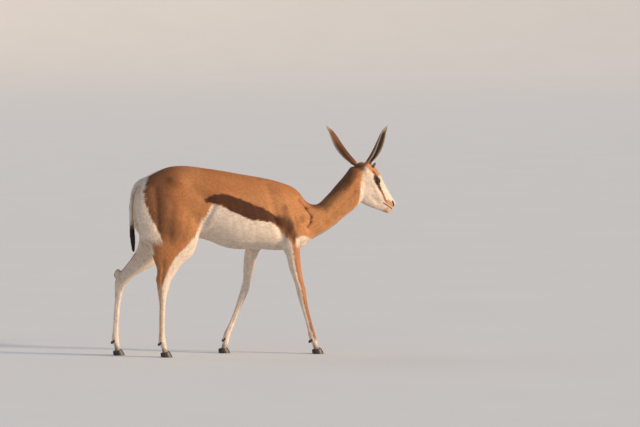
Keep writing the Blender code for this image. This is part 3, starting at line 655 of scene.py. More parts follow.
def apply_modifiers(thing):
    """Leaves the object with the mesh that its modifiers make."""
    graph = bpy.context.evaluated_depsgraph_get()
    made = bpy.data.meshes.new_from_object(thing.evaluated_get(graph))
    thing.modifiers.clear()
    thing.data = made


def read_vertices(mesh):
    """Places and normals of a mesh's vertices."""
    places = np.empty(len(mesh.vertices) * 3)
    normals = np.empty(len(mesh.vertices) * 3)
    mesh.vertices.foreach_get("co", places)
    mesh.vertex_normals.foreach_get("vector", normals)
    return places.reshape(-1, 3), normals.reshape(-1, 3)


def write_vertices(mesh, places):
    mesh.vertices.foreach_set("co", places.ravel())
    mesh.update()


def paint(mesh, colours):
    """Stores a colour for each vertex."""
    layer = mesh.color_attributes.new("Coat", "FLOAT_COLOR", "POINT")
    full = np.concatenate([colours, np.ones((len(colours), 1))], axis=1)
    layer.data.foreach_set("color", full.ravel())


def soften(thing, weights, rounds):
    """Smooths the object's mesh, as far as each vertex's weight says."""
    group = thing.vertex_groups.new(name="soft")
    levels = np.round(weights, 1)
    for level in np.unique(levels[levels > 0]):
        group.add(np.flatnonzero(levels == level).tolist(), float(level), "REPLACE")
    step = thing.modifiers.new("soft", "SMOOTH")
    step.factor = 0.5
    step.iterations = rounds
    step.vertex_group = group.name
    apply_modifiers(thing)
    thing.vertex_groups.clear()


# ---- the skin ----
def fuse_flesh():
    """Lofts and muscles as one smooth body, without ears."""
    skin = add_object("skin", flesh_shapes())
    fuse = skin.modifiers.new("fuse", "REMESH")
    fuse.mode = "VOXEL"
    fuse.voxel_size = SKIN_GRAIN
    apply_modifiers(skin)
    soften(skin, np.ones(len(skin.data.vertices)), BODY_ROUNDS)
    places, _ = read_vertices(skin.data)
    soften(skin, np.array([muscle_share(Vector(place)) for place in places]), TRUNK_ROUNDS)
    places, _ = read_vertices(skin.data)
    front = ease(0.30, 0.38, places[:, 0]) * ease(0.44, 0.50, places[:, 2])
    soften(skin, front, NECK_ROUNDS)
    return skin


def coat_depth(places):
    """How far inside the solids the skin lies."""
    head = in_skull(places)
    depth = np.full(len(places), 0.0020)
    depth = np.where(places[:, 2] < 0.40, 0.0012, depth)
    face = past_throat(places) > 0.0
    depth = np.where(face, 0.0010, depth)
    depth = np.where(face & (head[:, 0] > 0.15), 0.0006, depth)
    tail = tail_share(places) > 0.5
    return np.where(tail, 0.0015 + 0.0050 * ease(0.58, 0.52, places[:, 2]), depth)


def refine(bm, wanted):
    """Splits each face whose middle is wanted into four."""
    edges = {e for f in bm.faces if wanted(f.calc_center_median()) for e in f.edges}
    bmesh.ops.subdivide_edges(bm, edges=list(edges), cuts=1, use_grid_fill=True, smooth=0.0)


def refine_head(skin):
    """Smaller faces on the head, and smaller ones again round its features."""
    axes = [Vector(axis) for axis in SKULL_AXES]
    eyes = [on_side(EYE_AT, side) for side in (-1, 1)]

    def on_head(place):
        along, above = (place - HEAD_ROOT).dot(axes[0]), (place - HEAD_ROOT).dot(axes[1])
        return along > 0.022 and above > -0.085

    def on_feature(place):
        near_eye = min((place - eye).length for eye in eyes) < 0.026
        return near_eye or (on_head(place) and (place - HEAD_ROOT).dot(axes[0]) > 0.185)

    for wanted in (on_head, on_feature):
        edit_mesh(skin.data, lambda bm, wanted=wanted: refine(bm, wanted))
        places, _ = read_vertices(skin.data)
        head = in_skull(places)
        soften(skin, ease(0.010, 0.035, head[:, 0]) * ease(-0.095, -0.085, head[:, 1]), 3)


def groove_body(places, normals):
    """Depth of the body's folds, hollows and ribs at each place."""
    flat = places[:, (0, 2)]
    depth = np.zeros(len(places))
    for start, end, deep, wide in BODY_GROOVES:
        depth += deep * np.exp(-((to_segment(flat, start, end) / wide) ** 2))
    ribs = np.cos(2 * pi * (flat[:, 0] + 0.28 * (flat[:, 1] - 0.6)) / RIB_SPACING)
    chest = ease(-0.20, -0.12, flat[:, 0]) * ease(0.06, 0.0, flat[:, 0])
    level = ease(0.50, 0.55, flat[:, 1]) * ease(0.70, 0.64, flat[:, 1])
    depth += RIB_DEPTH * ribs * chest * level
    return (depth * ease(0.42, 0.46, flat[:, 1]) + groove_legs(places)) * np.abs(normals[:, 1])


def groove_legs(places):
    """Depth of the grooves between bone and tendon down the legs."""
    x, _, z = places.T
    forward, _, _ = leg_place(places)
    cannon = np.exp(-(((forward + 0.28) / 0.20) ** 2)) * ease(0.085, 0.110, z)
    cannon *= np.where(x > FORE_FROM, ease(0.250, 0.225, z), ease(0.265, 0.240, z))
    hock = np.exp(-(((forward + 0.42) / 0.22) ** 2)) * ease(0.290, 0.325, z) * ease(0.450, 0.400, z)
    arm = np.exp(-(((forward + 0.10) / 0.18) ** 2)) * ease(0.290, 0.325, z) * ease(0.420, 0.380, z)
    deep = 0.0016 * cannon + np.where(x > FORE_FROM, 0.0014 * arm, 0.0036 * hock)
    return deep * ease(0.455, 0.440, z)


def groove_face(places):
    """Depth of the grooves of the face at each place, the same on both sides."""
    head = in_skull(places)
    beside = np.abs(head[:, 2])
    depth = np.zeros(len(places))
    for start, end, deep, wide, least in FACE_GROOVES:
        shape = np.exp(-((to_segment(head[:, :2], start, end) / wide) ** 2))
        depth += deep * shape * ease(least - 0.002, least + 0.002, beside)
    mouth = to_path(head[:, :2], MOUTH)
    depth += 0.0022 * np.exp(-((mouth / 0.0014) ** 2))
    cleft = np.exp(-((beside / 0.0011) ** 2)) * ease(0.222, 0.228, head[:, 0])
    return (depth + 0.0012 * cleft * ease(0.006, 0.009, head[:, 1])) * (head[:, 0] > 0.0)


def eye_axes(side):
    """The eye's middle, the way along its slit, the way up, and the way out."""
    out = unit(SKULL_AXES[2] * side + SKULL_AXES[0] * 0.16 + SKULL_AXES[1] * 0.10)
    slit = SKULL_AXES[0] - 0.10 * SKULL_AXES[1]
    slit = unit(slit - out * (slit @ out))
    up = np.cross(out, slit) * side
    if up @ SKULL_AXES[1] < 0:
        up = -up
    middle = np.array(on_side(EYE_AT, side))
    return middle, slit, up, out


def past_lids(away, slit, up):
    """How far outside the eye's opening places are, given from the eye's middle."""
    long, rise, drop = EYE_SLIT
    x, y = away @ slit, away @ up
    arch = 1 - np.clip(x / long, -1, 1) ** 2
    return np.maximum(np.maximum(y - rise * arch, -drop * arch - y), np.abs(x) - long)


def open_eyes(places):
    """Lays lids over each eyeball and a socket behind its opening."""
    for side in (-1, 1):
        middle, slit, up, out = eye_axes(side)
        away = places - middle
        radius = np.linalg.norm(away, axis=1)
        outside = past_lids(away, slit, up)
        lid = EYE_RADIUS + 0.0007 + 0.0010 * ease(0.0, 0.0016, outside)
        drawn = lid + (radius - lid) * ease(0.0, 0.0085, outside)
        drawn = np.where(outside < 0.009, np.maximum(drawn, EYE_RADIUS + 0.0007), drawn)
        drawn = np.where(outside < -0.0004, EYE_RADIUS - 0.0022, drawn)
        ahead = (away @ out > 0.0035) & (radius < 0.032)
        share = drawn / radius
        places = np.where(ahead[:, None], middle + away * share[:, None], places)
    return places


def add_ears(skin):
    """Unites fine ears with the skin, and smooths where they meet."""
    for side, tip, opening in EARS:
        depths = (0.0006, 0.0006 + EAR_SKIN)
        root = on_side(EAR_AT, side)
        ear = ear_shape(root, Vector(tip), Vector(opening), rows=56, columns=30, depths=depths)
        other = add_object("ear", ear)
        step = skin.modifiers.new("step", "BOOLEAN")
        step.operation = "UNION"
        step.solver = "EXACT"
        step.object = other
        apply_modifiers(skin)
        bpy.data.objects.remove(other, do_unlink=True)
    places, _ = read_vertices(skin.data)
    near = np.zeros(len(places))
    for side, tip, opening in EARS:
        share, _, reach, _ = in_ear(places, side, tip, opening)
        part = ease(0.30, 0.16, share) * ease(-0.10, 0.02, share) * ease(3.2, 2.0, reach)
        near = np.maximum(near, part)
    soften(skin, near, 10)


def make_skin():
    skin = fuse_flesh()
    places, normals = read_vertices(skin.data)
    write_vertices(skin.data, places - normals * coat_depth(places)[:, None])
    refine_head(skin)
    places, normals = read_vertices(skin.data)
    depth = groove_body(places, normals) * ease(0.01, -0.02, past_throat(places))
    depth += groove_face(places)
    write_vertices(skin.data, open_eyes(places - normals * depth[:, None]))
    add_ears(skin)
    edit_mesh(skin.data, lambda bm: bmesh.ops.triangulate(bm, faces=bm.faces))
    skin.data.shade_smooth()
    return skin


# ---- markings ----
def leg_place(places):
    """Share forward, share outward and behind-the-front-edge distance on the nearest leg."""
    forward = np.zeros(len(places))
    outward = np.zeros(len(places))
    behind = np.zeros(len(places))
    for name, rows in LEGS.items():
        table = np.array(rows)[::-1]
        z = places[:, 2]
        x, y, wide, front, back = (np.interp(z, table[:, 2], table[:, i]) for i in (0, 1, 3, 4, 5))
        fore = name.startswith("fore")
        side = 1 if name.endswith("left") else -1
        mine = ((places[:, 0] > FORE_FROM) == fore) & ((places[:, 1] > 0) == (side > 0))
        ahead = places[:, 0] - x
        reach = np.where(ahead > 0, front, back)
        forward = np.where(mine, ahead / reach, forward)
        outward = np.where(mine, (places[:, 1] - y) / wide * side, outward)
        behind = np.where(mine, x + front - places[:, 0], behind)
    return forward, outward, behind


def mark_trunk(colour, p, n):
    """Back, flank band, belly, shoulders and rump."""
    x, z = p[:, 0], p[:, 2] + 0.003 * wander(p, 0.035, 1)
    side = np.abs(n[:, 1])
    colour = mix(colour, RUSSET, 0.55 * ease(-0.05, -0.30, x) * ease(0.60, 0.70, z))
    colour = mix(colour, RUSSET, 0.45 * ease(0.93, 1.0, n[:, 2]))
    colour = mix(colour, APRICOT, 0.45 * ease(0.72, 0.66, z) * ease(-0.24, -0.10, x) * side)
    # The thigh is brighter in front, a painted sunlit side, and darkens towards the rump, partly in
    # browner hair and partly in painted shade.
    colour = mix(colour, APRICOT, 0.30 * ease(-0.36, -0.30, x) * ease(-0.20, -0.26, x))
    edge = along_line(z, RUMP_LINE, 1) + 0.003 * wander(p, 0.03, 2)
    haunch = ease(edge + 0.150, edge + 0.050, x) * ease(0.46, 0.54, z) * ease(0.86, 0.76, z)
    colour = mix(colour, UMBER, 0.82 * haunch)
    # The dark band.
    middle = along_line(x, BAND, 1)
    half = along_line(x, BAND, 2) + 0.0015 * wander(p, 0.02, 3)
    band = ease(half + 0.004, half - 0.004, np.abs(z - middle))
    band *= ease(-0.250, -0.225, x) * ease(0.112, 0.088, x)
    # Dark patches of the shoulder, mostly painted shade: behind the upper arm, where the band's
    # dark hair also runs, above it, and in the crease round its point.
    for start, end, wide, share in SHOULDER_SHADE_MARKS:
        mark = to_segment(p[:, (0, 2)], start, end) + 0.003 * wander(p, 0.03, 15)
        colour = mix(colour, BAND_BROWN, share * ease(wide, 0.2 * wide, mark) * side)
    colour = mix(colour, BAND_BROWN, band * ease(0.15, 0.45, side))
    # The belly. The far foreleg stands further back, and so does its white.
    top = along_line(x + 0.11 * ease(0.57, 0.50, z) * (p[:, 1] > 0), BELLY_LINE, 1)
    belly = ease(0.0035, -0.0035, z - top) * ease(-0.30, -0.285, x) * ease(0.160, 0.150, x)
    groin = ease(-0.25, -0.60, n[:, 2]) * ease(-0.26, -0.29, x) * ease(0.62, 0.58, z)
    return mix(colour, CREAM, np.maximum(belly, groin))


def mark_front(colour, p, n):
    """Neck, throat and breast."""
    x, y, z = p[:, 0], np.abs(p[:, 1]), p[:, 2]
    neck = ease(0.20, 0.26, x)
    throat = ease(-0.45, -0.95, n[:, 2] - 0.75 * n[:, 0])
    colour = mix(colour, APRICOT, 0.75 * throat * neck)
    colour = mix(colour, SHELL, 0.60 * neck * ease(-0.80, -1.10, n[:, 2] - 0.75 * n[:, 0]))
    # Painted shade on the upper side of the neck, where it faces up.
    colour = mix(colour, UMBER, 0.50 * neck * ease(0.45, 0.95, n[:, 2] - 0.6 * n[:, 0]))
    # The nape darkens towards the ears in streaks along the hair: a painted cast shadow, not the
    # coat's own colour.
    along = 0.665 * (x - 0.292) + 0.747 * (z - 0.592)
    above = 0.665 * (z - 0.592) - 0.747 * (x - 0.292)
    edge = np.interp(along, (0.05, 0.10, 0.15, 0.20), (0.042, 0.026, 0.000, -0.010))
    streak = 0.005 * wander(p * (0.4, 1.0, 0.4), 0.012, 14)
    nape = ease(edge - 0.010, edge + 0.010, above + streak) * ease(0.24, 0.30, x)
    colour = mix(colour, UMBER, 0.76 * nape)
    lift = 0.10 * np.maximum(y - 0.03, 0) + 0.4 * np.maximum(x - 0.20, 0)
    breast = ease(0.514, 0.504, z + lift) * ease(0.150, 0.160, x)
    return mix(colour, CREAM, breast * ease(0.44, 0.45, z))


def mark_rump(colour, p, n):
    """The white rump, with its narrow wedge over the tail's root."""
    x, y, z = p[:, 0], np.abs(p[:, 1]), p[:, 2]
    edge = along_line(z, RUMP_LINE, 1) + 0.003 * wander(p, 0.03, 2)
    rump = np.maximum(ease(0.47, 0.52, z), ease(-0.5, -0.8, n[:, 0]))
    rump = ease(0.004, -0.004, x - edge) * rump
    wedge = ease(0.002, -0.002, y - 0.22 * (-0.385 - x)) * ease(0.70, 0.72, z)
    inner = ease(0.35, 0.60, -n[:, 1] * np.sign(p[:, 1]))
    inner = inner * ease(-0.27, -0.29, x) * ease(0.62, 0.56, z)
    return mix(colour, CREAM, np.clip(rump + wedge + inner, 0, 1))


def mark_legs(colour, p):
    """White legs with a tan stripe down the fore and a tan haunch down the hind ones."""
    x, z = p[:, 0], p[:, 2]
    forward, outward, behind = leg_place(p)
    wobble = 0.10 * wander(p, 0.03, 4)
    fore = x > FORE_FROM
    colour = mix(colour, CREAM, fore * ease(0.455, 0.440, z))
    stripe = ease(-0.16, 0.02, forward + wobble) * ease(-0.35, 0.05, outward + wobble)
    stripe *= ease(0.485, 0.455, z) * ease(0.050, 0.075, z) * fore
    tan = mix(CINNAMON, RUSSET, ease(0.30, 0.12, z))
    colour = mix(colour, tan, stripe * 0.92)
    # Hind legs: white in front and inside.
    limit = np.interp(z + 0.004 * wander(p, 0.03, 5), *np.array(THIGH_WHITE).T)
    white = np.clip(ease(0.005, -0.005, behind - limit) + ease(-0.05, -0.35, outward), 0, 1)
    white *= ease(0.60, 0.56, z) * ~fore
    colour = mix(colour, CREAM, white)
    cannon = ease(0.320, 0.270, z) * ~fore
    colour = mix(colour, CREAM, cannon)
    back = cannon * ease(-0.10, -0.5, forward) * ease(-0.2, 0.3, outward) * ease(0.06, 0.10, z)
    colour = mix(colour, APRICOT, 0.65 * back)
    # Darker hair round the hooves and dewclaws.
    return mix(colour, UMBER, 0.55 * ease(0.050, 0.030, z))


def mark_head(colour, p):
    """White face, tan forehead, brown stripe from eye to mouth, dark nose and lids."""
    head = in_skull(p)
    along, above, beside = head[:, 0], head[:, 1], np.abs(head[:, 2])
    flat = head[:, :2]
    wobble = 0.0014 * wander(p, 0.012, 6)
    cheek = ease(0.006, 0.014, beside)
    jaw = past_throat(p) - 0.36 * np.maximum(-0.045 - above, 0.0)
    colour = mix(colour, CREAM, ease(-0.004, 0.006, jaw + wobble))
    # Behind the jaw and under the ear the white turns to fawn.
    fawn = 0.35 * ease(0.030, 0.004, past_throat(p)) * ease(-0.06, -0.02, above)
    colour = mix(colour, APRICOT, fawn)
    crown = ease(0.092, 0.076, along + 0.55 * beside - 0.010 + wobble)
    crown *= ease(0.027, 0.037, above + wobble + 0.10 * (0.05 - along))
    colour = mix(colour, FOREHEAD, 0.92 * crown)
    # A fawn bridge, which pales towards the nose.
    bridge = ease(0.026, 0.034, above) * ease(0.018, 0.008, beside) * ease(0.200, 0.085, along)
    colour = mix(colour, APRICOT, 0.38 * bridge)
    # The stripe from the eye to the corner of the mouth.
    reach = to_path(flat, FACE_STRIPE)
    widths = (0.0100, 0.0082, 0.0050, 0.0042, 0.0050)
    width = np.interp(along, (0.07, 0.10, 0.13, 0.16, 0.19), widths)
    stripe = ease(0.0018, -0.0018, reach - width + wobble) * cheek
    brown = mix(CHOCOLATE, RUSSET, ease(0.114, 0.142, along))
    colour = mix(colour, brown, stripe * ease(0.205, 0.180, along) * 0.94)
    # Fawn lips and sides of the nose.
    tan = ease(0.0150, 0.0040, to_segment(flat, (0.190, 0.004), (0.218, 0.010)) + wobble)
    colour = mix(colour, CINNAMON, 0.80 * tan * cheek)
    # Round the eye, with a dark spot over the brow.
    back, front = (EYE_AT[0] - 0.010, EYE_AT[1] + 0.003), (EYE_AT[0] + 0.012, EYE_AT[1] - 0.003)
    eye = 0.92 * ease(0.0125, 0.0090, to_segment(flat, back, front) + wobble)
    colour = mix(colour, CHOCOLATE, eye * ease(0.020, 0.026, beside))
    brow = to_segment(flat, (0.045, 0.0395), (0.064, 0.0330))
    brow = 0.80 * ease(0.0052, 0.0025, brow + wobble)
    colour = mix(colour, CHOCOLATE, brow * ease(0.012, 0.018, beside))
    # Nose pad, nostrils and lips.
    half = np.interp(above, NOSE_PAD[0], NOSE_PAD[1])
    pad = ease(half + 0.0008, half - 0.0008, beside) * ease(0.2130, 0.2160, along)
    colour = mix(colour, NOSE, pad * ease(0.0025, 0.0040, above) * ease(0.0215, 0.0195, above))
    nostril = ease(0.0046, 0.0026, to_path(flat, NOSTRIL))
    colour = mix(colour, NOSE, nostril * ease(0.003, 0.006, beside))
    colour = mix(colour, SLATE, 0.85 * ease(0.0034, 0.0014, to_path(flat, MOUTH)))
    chin = ease(0.196, 0.212, along) * ease(-0.004, -0.010, above)
    return mix(colour, APRICOT, 0.62 * chin)


def mark_ears(colour, p, n):
    """Tan backs with painted shade where they face away from the front, pale rims and dark insides.
    """
    for side, tip, opening in EARS:
        share, around, near, away = in_ear(p, side, tip, opening)
        mine = ease(0.10, 0.16, share) * (share < 1.02) * (near < 1.8)
        inside = ease(0.15, -0.15, (n * away).sum(axis=1))
        rim = ease(0.70, 0.92, around)
        back = mix(RUSSET, CINNAMON, 0.5 * ease(0.3, 0.7, share))
        # Painted shade on the backs, where they turn away from the front.
        back = mix(back, UMBER, 0.85 * ease(0.98, 0.82, n[:, 0]))
        back = mix(back, SHELL, 0.75 * np.maximum(rim, ease(0.80, 0.98, share)))
        streak = ease(0.60, 1.0, np.sin(around * 9.5 + 0.5 + 0.25 * wander(p, 0.03, 8)))
        cup = mix(SLATE, SHELL, 0.14 * streak * ease(0.20, 0.40, share))
        cup = mix(cup, SHELL, 0.90 * np.maximum(ease(0.74, 0.90, around), ease(0.78, 0.94, share)))
        colour = mix(colour, mix(back, cup, inside), mine)
    return colour


def mark_tail(colour, p):
    """A white tail with a dark brown tuft."""
    tail = tail_share(p)
    colour = mix(colour, CREAM, tail)
    return mix(colour, CHOCOLATE, tail * ease(0.590, 0.560, p[:, 2] + 0.006 * wander(p, 0.02, 9)))


def markings(places, normals):
    """The coat's colour at places of the body, before it moves over the origin."""
    colour = np.tile(CINNAMON, (len(places), 1))
    trunk = mark_front(mark_trunk(colour, places, normals), places, normals)
    trunk = mark_rump(trunk, places, normals)
    colour = mix(colour, trunk, ease(0.435, 0.445, places[:, 2]))
    colour = mark_tail(mark_legs(colour, places), places)
    head = ease(-0.012, -0.004, past_throat(places))
    colour = mix(colour, mark_head(colour, places), head)
    colour = mark_ears(colour, places, normals)
    grain = 1 + 0.05 * wander(places, 0.05, 10) + 0.025 * wander(places, 0.012, 12)
    return np.clip(colour * grain[:, None], 0.004, 0.95)


# ---- materials ----
def set_inputs(node, **values):
    """Sets a node's inputs. An underscore stands for a space in an input's name."""
    for name, value in values.items():
        node.inputs[name.replace("_", " ")].default_value = value


def new_material(name, roughness, colour=None, coat=0.0, sheen=0.0):
    made = bpy.data.materials.new(name)
    made.use_nodes = True
    shader = made.node_tree.nodes["Principled BSDF"]
    set_inputs(shader, Roughness=roughness, Coat_Weight=coat, Coat_Roughness=0.04)
    set_inputs(shader, Sheen_Weight=sheen, Sheen_Roughness=0.5, Sheen_Tint=(1.0, 0.88, 0.74, 1.0))
    if colour is not None:
        set_inputs(shader, Base_Color=(*colour, 1.0))
    return made, shader


def add_node(made, kind, **settings):
    node = made.node_tree.nodes.new(kind)
    for name, value in settings.items():
        setattr(node, name, value)
    return node


def add_ramp(made, value, low, high, span=(0.0, 1.0)):
    """Turns a value into a colour between low and high, over the given span."""
    ramp = add_node(made, "ShaderNodeValToRGB")
    for i, colour in enumerate((low, high)):
        ramp.color_ramp.elements[i].position = span[i]
        ramp.color_ramp.elements[i].color = (*colour, 1.0)
    made.node_tree.links.new(value, ramp.inputs["Fac"])
    return ramp.outputs["Color"]


def add_noise(made, scale, detail=4.0, stretch=(1.0, 1.0, 1.0)):
    """A noise in the object's own space, and the socket that carries it."""
    link = made.node_tree.links.new
    place = add_node(made, "ShaderNodeTexCoord")
    turn = add_node(made, "ShaderNodeMapping")
    set_inputs(turn, Scale=stretch)
    noise = add_node(made, "ShaderNodeTexNoise")
    set_inputs(noise, Scale=scale, Detail=detail)
    link(place.outputs["Object"], turn.inputs["Vector"])
    link(turn.outputs["Vector"], noise.inputs["Vector"])
    return noise.outputs["Fac"]


def add_bump(made, shader, height, strength, distance):
    bump = add_node(made, "ShaderNodeBump")
    set_inputs(bump, Strength=strength, Distance=distance)
    made.node_tree.links.new(height, bump.inputs["Height"])
    made.node_tree.links.new(bump.outputs["Normal"], shader.inputs["Normal"])


def coat_material(name, bump):
    """Hair coloured by the Coat attribute, with finer streaks from noise."""
    made, shader = new_material(name, 0.72, sheen=0.03)
    set_inputs(shader, Specular_IOR_Level=0.25)
    link = made.node_tree.links.new
    colour = add_node(made, "ShaderNodeAttribute", attribute_name="Coat")
    streaks = add_noise(made, 260.0, 5.0, (0.35, 1.0, 0.35))
    level = add_node(made, "ShaderNodeMapRange")
    set_inputs(level, From_Min=0.30, From_Max=0.70, To_Min=0.86, To_Max=1.12)
    shade = add_node(made, "ShaderNodeVectorMath", operation="SCALE")
    link(streaks, level.inputs["Value"])
    link(colour.outputs["Color"], shade.inputs[0])
    link(level.outputs["Result"], shade.inputs["Scale"])
    link(shade.outputs["Vector"], shader.inputs["Base Color"])
    if bump:
        add_bump(made, shader, streaks, 0.55, 0.0012)
    return made


# ---- the coat ----
def hair_shares(places):
    """How much each kind of hair there is at each place."""
    head = in_skull(places)
    x, z = places[:, 0], places[:, 2]
    shares = {kind: np.zeros(len(places)) for kind in HAIR}
    on_head = ease(-0.010, 0.010, past_throat(places))
    muzzle = ease(0.150, 0.185, head[:, 0]) * on_head
    ear = np.zeros(len(places))
    for side, tip, opening in EARS:
        share, _, near, _ = in_ear(places, side, tip, opening)
        ear = np.maximum(ear, ease(0.10, 0.18, share) * (near < EAR_HALO))
    tail = tail_share(places)
    tuft = tail * ease(0.585, 0.565, z)
    leg = ease(0.47, 0.40, z) * (1 - tail)
    rest = 1 - leg
    neck = ease(0.20, 0.28, x) * rest * (1 - on_head)
    rump = ease(-0.42, -0.46, x) * rest * (1 - tail)
    belly = ease(0.56, 0.52, z) * ease(0.20, 0.10, x) * ease(-0.36, -0.30, x) * rest
    shares["muzzle"] = muzzle * (1 - ear)
    shares["face"] = (on_head - muzzle) * (1 - ear)
    shares["ear"] = ear
    shares["tuft"] = tuft
    shares["tail"] = tail - tuft
    shares["leg"] = leg * (1 - on_head)
    shares["neck"] = neck * (1 - ear)
    shares["rump"] = rump
    shares["belly"] = belly * (1 - rump)
    body = 1 - sum(shares[kind] for kind in HAIR if kind != "body")
    shares["body"] = np.clip(body, 0, 1)
    total = sum(shares.values())
    return {kind: share / total for kind, share in shares.items()}


def lie_of_coat(mesh, places, normals):
    """The way the hair lies at each vertex, smoothed over its neighbours."""
    ways, gaps = survey(places)
    weights = np.exp(-((gaps / 0.75) ** 2) * 2.0)
    lie = (ways * weights[:, :, None]).sum(axis=1)
    for side, tip, opening in EARS:
        share, _, near, _ = in_ear(places, side, tip, opening)
        along = unit(np.array(tip) - np.array(on_side(EAR_AT, side)))
        mine = ease(0.08, 0.20, share) * (near < EAR_HALO)
        lie = mix(unit(lie), along, mine)
    edges = np.empty(len(mesh.edges) * 2, int)
    mesh.edges.foreach_get("vertices", edges)
    one, two = edges.reshape(-1, 2).T
    for _ in range(6):
        lie = unit(lie - normals * (lie * normals).sum(axis=1, keepdims=True))
        total = lie.copy()
        for i in range(3):
            total[:, i] += np.bincount(one, lie[two, i], len(lie))
            total[:, i] += np.bincount(two, lie[one, i], len(lie))
        lie = unit(total)
    return unit(lie - normals * (lie * normals).sum(axis=1, keepdims=True))


def scatter(places, triangles, spacing, rng):
    """Roots spread over the skin: their triangle and the shares of its corners."""
    a, b, c = (places[triangles[:, i]] for i in range(3))
    area = np.linalg.norm(np.cross(b - a, c - a), axis=1) / 2
    wanted = np.cumsum(area / spacing[triangles].mean(axis=1) ** 2)
    marks = np.arange(0.5, wanted[-1], 1.0) + rng.uniform(-0.35, 0.35, int(wanted[-1] + 0.5))
    index = np.searchsorted(wanted, marks.clip(0, wanted[-1] - 1e-6))
    r, s = np.sqrt(rng.random(len(index))), rng.random(len(index))
    return index, np.stack([1 - r, r * (1 - s), r * s], axis=1)


def tuft_mesh(name, points, normals, colours, patches, made):
    """One mesh of closed five-point tufts: root, two sides, ridge and tip."""
    count = len(points)
    faces = np.array((0, 1, 3, 0, 3, 2, 4, 3, 1, 4, 2, 3, 0, 2, 1, 4, 1, 2))
    corners = (np.arange(count)[:, None] * 5 + faces).ravel()
    mesh = bpy.data.meshes.new(name)
    mesh.vertices.add(count * 5)
    mesh.loops.add(count * 18)
    mesh.polygons.add(count * 6)
    mesh.vertices.foreach_set("co", points.ravel())
    mesh.loops.foreach_set("vertex_index", corners.astype(np.int32))
    mesh.polygons.foreach_set("loop_start", np.arange(0, count * 18, 3, dtype=np.int32))
    mesh.update(calc_edges=True)
    layer = mesh.uv_layers.new(name="OFBake")
    layer.data.foreach_set("uv", patches.reshape(-1, 2)[corners].ravel())
    paint(mesh, colours.reshape(-1, 3))
    mesh.shade_smooth()
    mesh.normals_split_custom_set_from_vertices(normals.reshape(-1, 3))
    mesh.materials.append(made)
    return link_object(name, mesh)


def corner_uvs(mesh):
    """The OFBake place of each corner of each triangle."""
    flat = np.empty(len(mesh.loops) * 2)
    mesh.uv_layers["OFBake"].data.foreach_get("uv", flat)
    return flat.reshape(-1, 3, 2)


def grow_coat(skin):
    """Tufts of hair over the whole skin, in one piece for each region."""
    rng = np.random.default_rng(SEED)
    mesh = skin.data
    places, normals = read_vertices(mesh)
    lie = lie_of_coat(mesh, places, normals)
    shares = hair_shares(places)
    sizes = [sum(shares[kind] * HAIR[kind][i] for kind in HAIR) for i in range(4)]
    triangles = np.empty(len(mesh.polygons) * 3, int)
    mesh.loops.foreach_get("vertex_index", triangles)
    triangles = triangles.reshape(-1, 3)
    index, blend = scatter(places, triangles, sizes[2], rng)
    corners = triangles[index]

    def at(values):
        return np.einsum("ij,ij...->i...", blend, values[corners])

    roots, ups, ways = at(places), unit(at(normals)), unit(at(lie))
    long, wide, _, high = (at(size) for size in sizes)
    keep = clear_places(roots)
    index, blend, roots, ups, ways = (v[keep] for v in (index, blend, roots, ups, ways))
    long, wide, high = (v[keep] for v in (long, wide, high))
    count = len(roots)
    long = long * rng.uniform(0.75, 1.20, count)
    wide = wide * rng.uniform(0.80, 1.20, count)
    high = high * rng.uniform(0.55, 1.05, count)
    across = np.cross(ups, ways)
    ways = unit(ways + across * rng.normal(0.0, 0.13, count)[:, None])
    across = unit(np.cross(ups, ways))
    tree = BVHTree.FromPolygons(places.tolist(), triangles.tolist())
    tips, middles = roots + ways * long[:, None], roots + ways * (long * 0.45)[:, None]
    tips = lay_on(tree, tips, high, ups)
    middles = lay_on(tree, middles, high * 0.55, ups)
    points = np.empty((count, 5, 3))
    points[:, 0] = roots - ups * 0.0004
    points[:, 1] = middles - across * (wide / 2)[:, None] - ups * 0.0002
    points[:, 2] = middles + across * (wide / 2)[:, None] - ups * 0.0002
    points[:, 3] = middles + ups * (0.16 * wide)[:, None]
    points[:, 4] = tips
    shading = np.empty((count, 5, 3))
    shading[:, 0] = ups
    shading[:, 1] = unit(ups - across * 0.35)
    shading[:, 2] = unit(ups + across * 0.35)
    shading[:, 3] = ups
    shading[:, 4] = unit(ups + ways * 0.25)
    colour = markings(roots, ups)
    tone = rng.normal(1.0, 0.085, count)
    # Each tuft is darker at its root, painted shade where it lies under its neighbours, and lighter
    # towards its tip.
    ends = np.array((0.84, 0.97, 0.97, 1.02, 1.10))
    colours = np.clip(colour[:, None] * (tone[:, None] * ends)[:, :, None], 0.003, 0.97)
    flat = np.einsum("ij,ijk->ik", blend, corner_uvs(mesh)[index])
    patch = np.array(((0, 0), (0.0015, -0.0015), (0.0015, 0.0015), (0.0018, 0), (0.003, 0)))
    patches = np.clip(flat[:, None] + patch, 0.0, 1.0)
    made = coat_material("coat", bump=False)
    for name, chosen in coat_regions(roots).items():
        parts = (values[chosen] for values in (points, shading, colours, patches))
        piece = tuft_mesh(name, *parts, made)
        settle(piece)


def clear_places(roots):
    """Leaves out what lies in the eye sockets, the nostrils and on the nose pad."""
    head = in_skull(roots)
    head[:, 2] = np.abs(head[:, 2])
    keep = np.ones(len(roots), bool)
    for side in (-1, 1):
        middle, slit, up, out = eye_axes(side)
        away = roots - middle
        outside = past_lids(away, slit, up)
        keep &= ~((outside < 0.0012) & (away @ out > 0.0) & (np.linalg.norm(away, axis=1) < 0.03))
    keep &= (to_path(head[:, :2], NOSTRIL) > 0.0034) | (head[:, 2] < 0.003)
    half = np.interp(head[:, 1], NOSE_PAD[0], NOSE_PAD[1])
    pad = (head[:, 0] > 0.2145) & (head[:, 1] > 0.0032) & (head[:, 1] < 0.0205)
    pad &= head[:, 2] < half
    return keep & ~pad & (roots[:, 2] > 0.020)


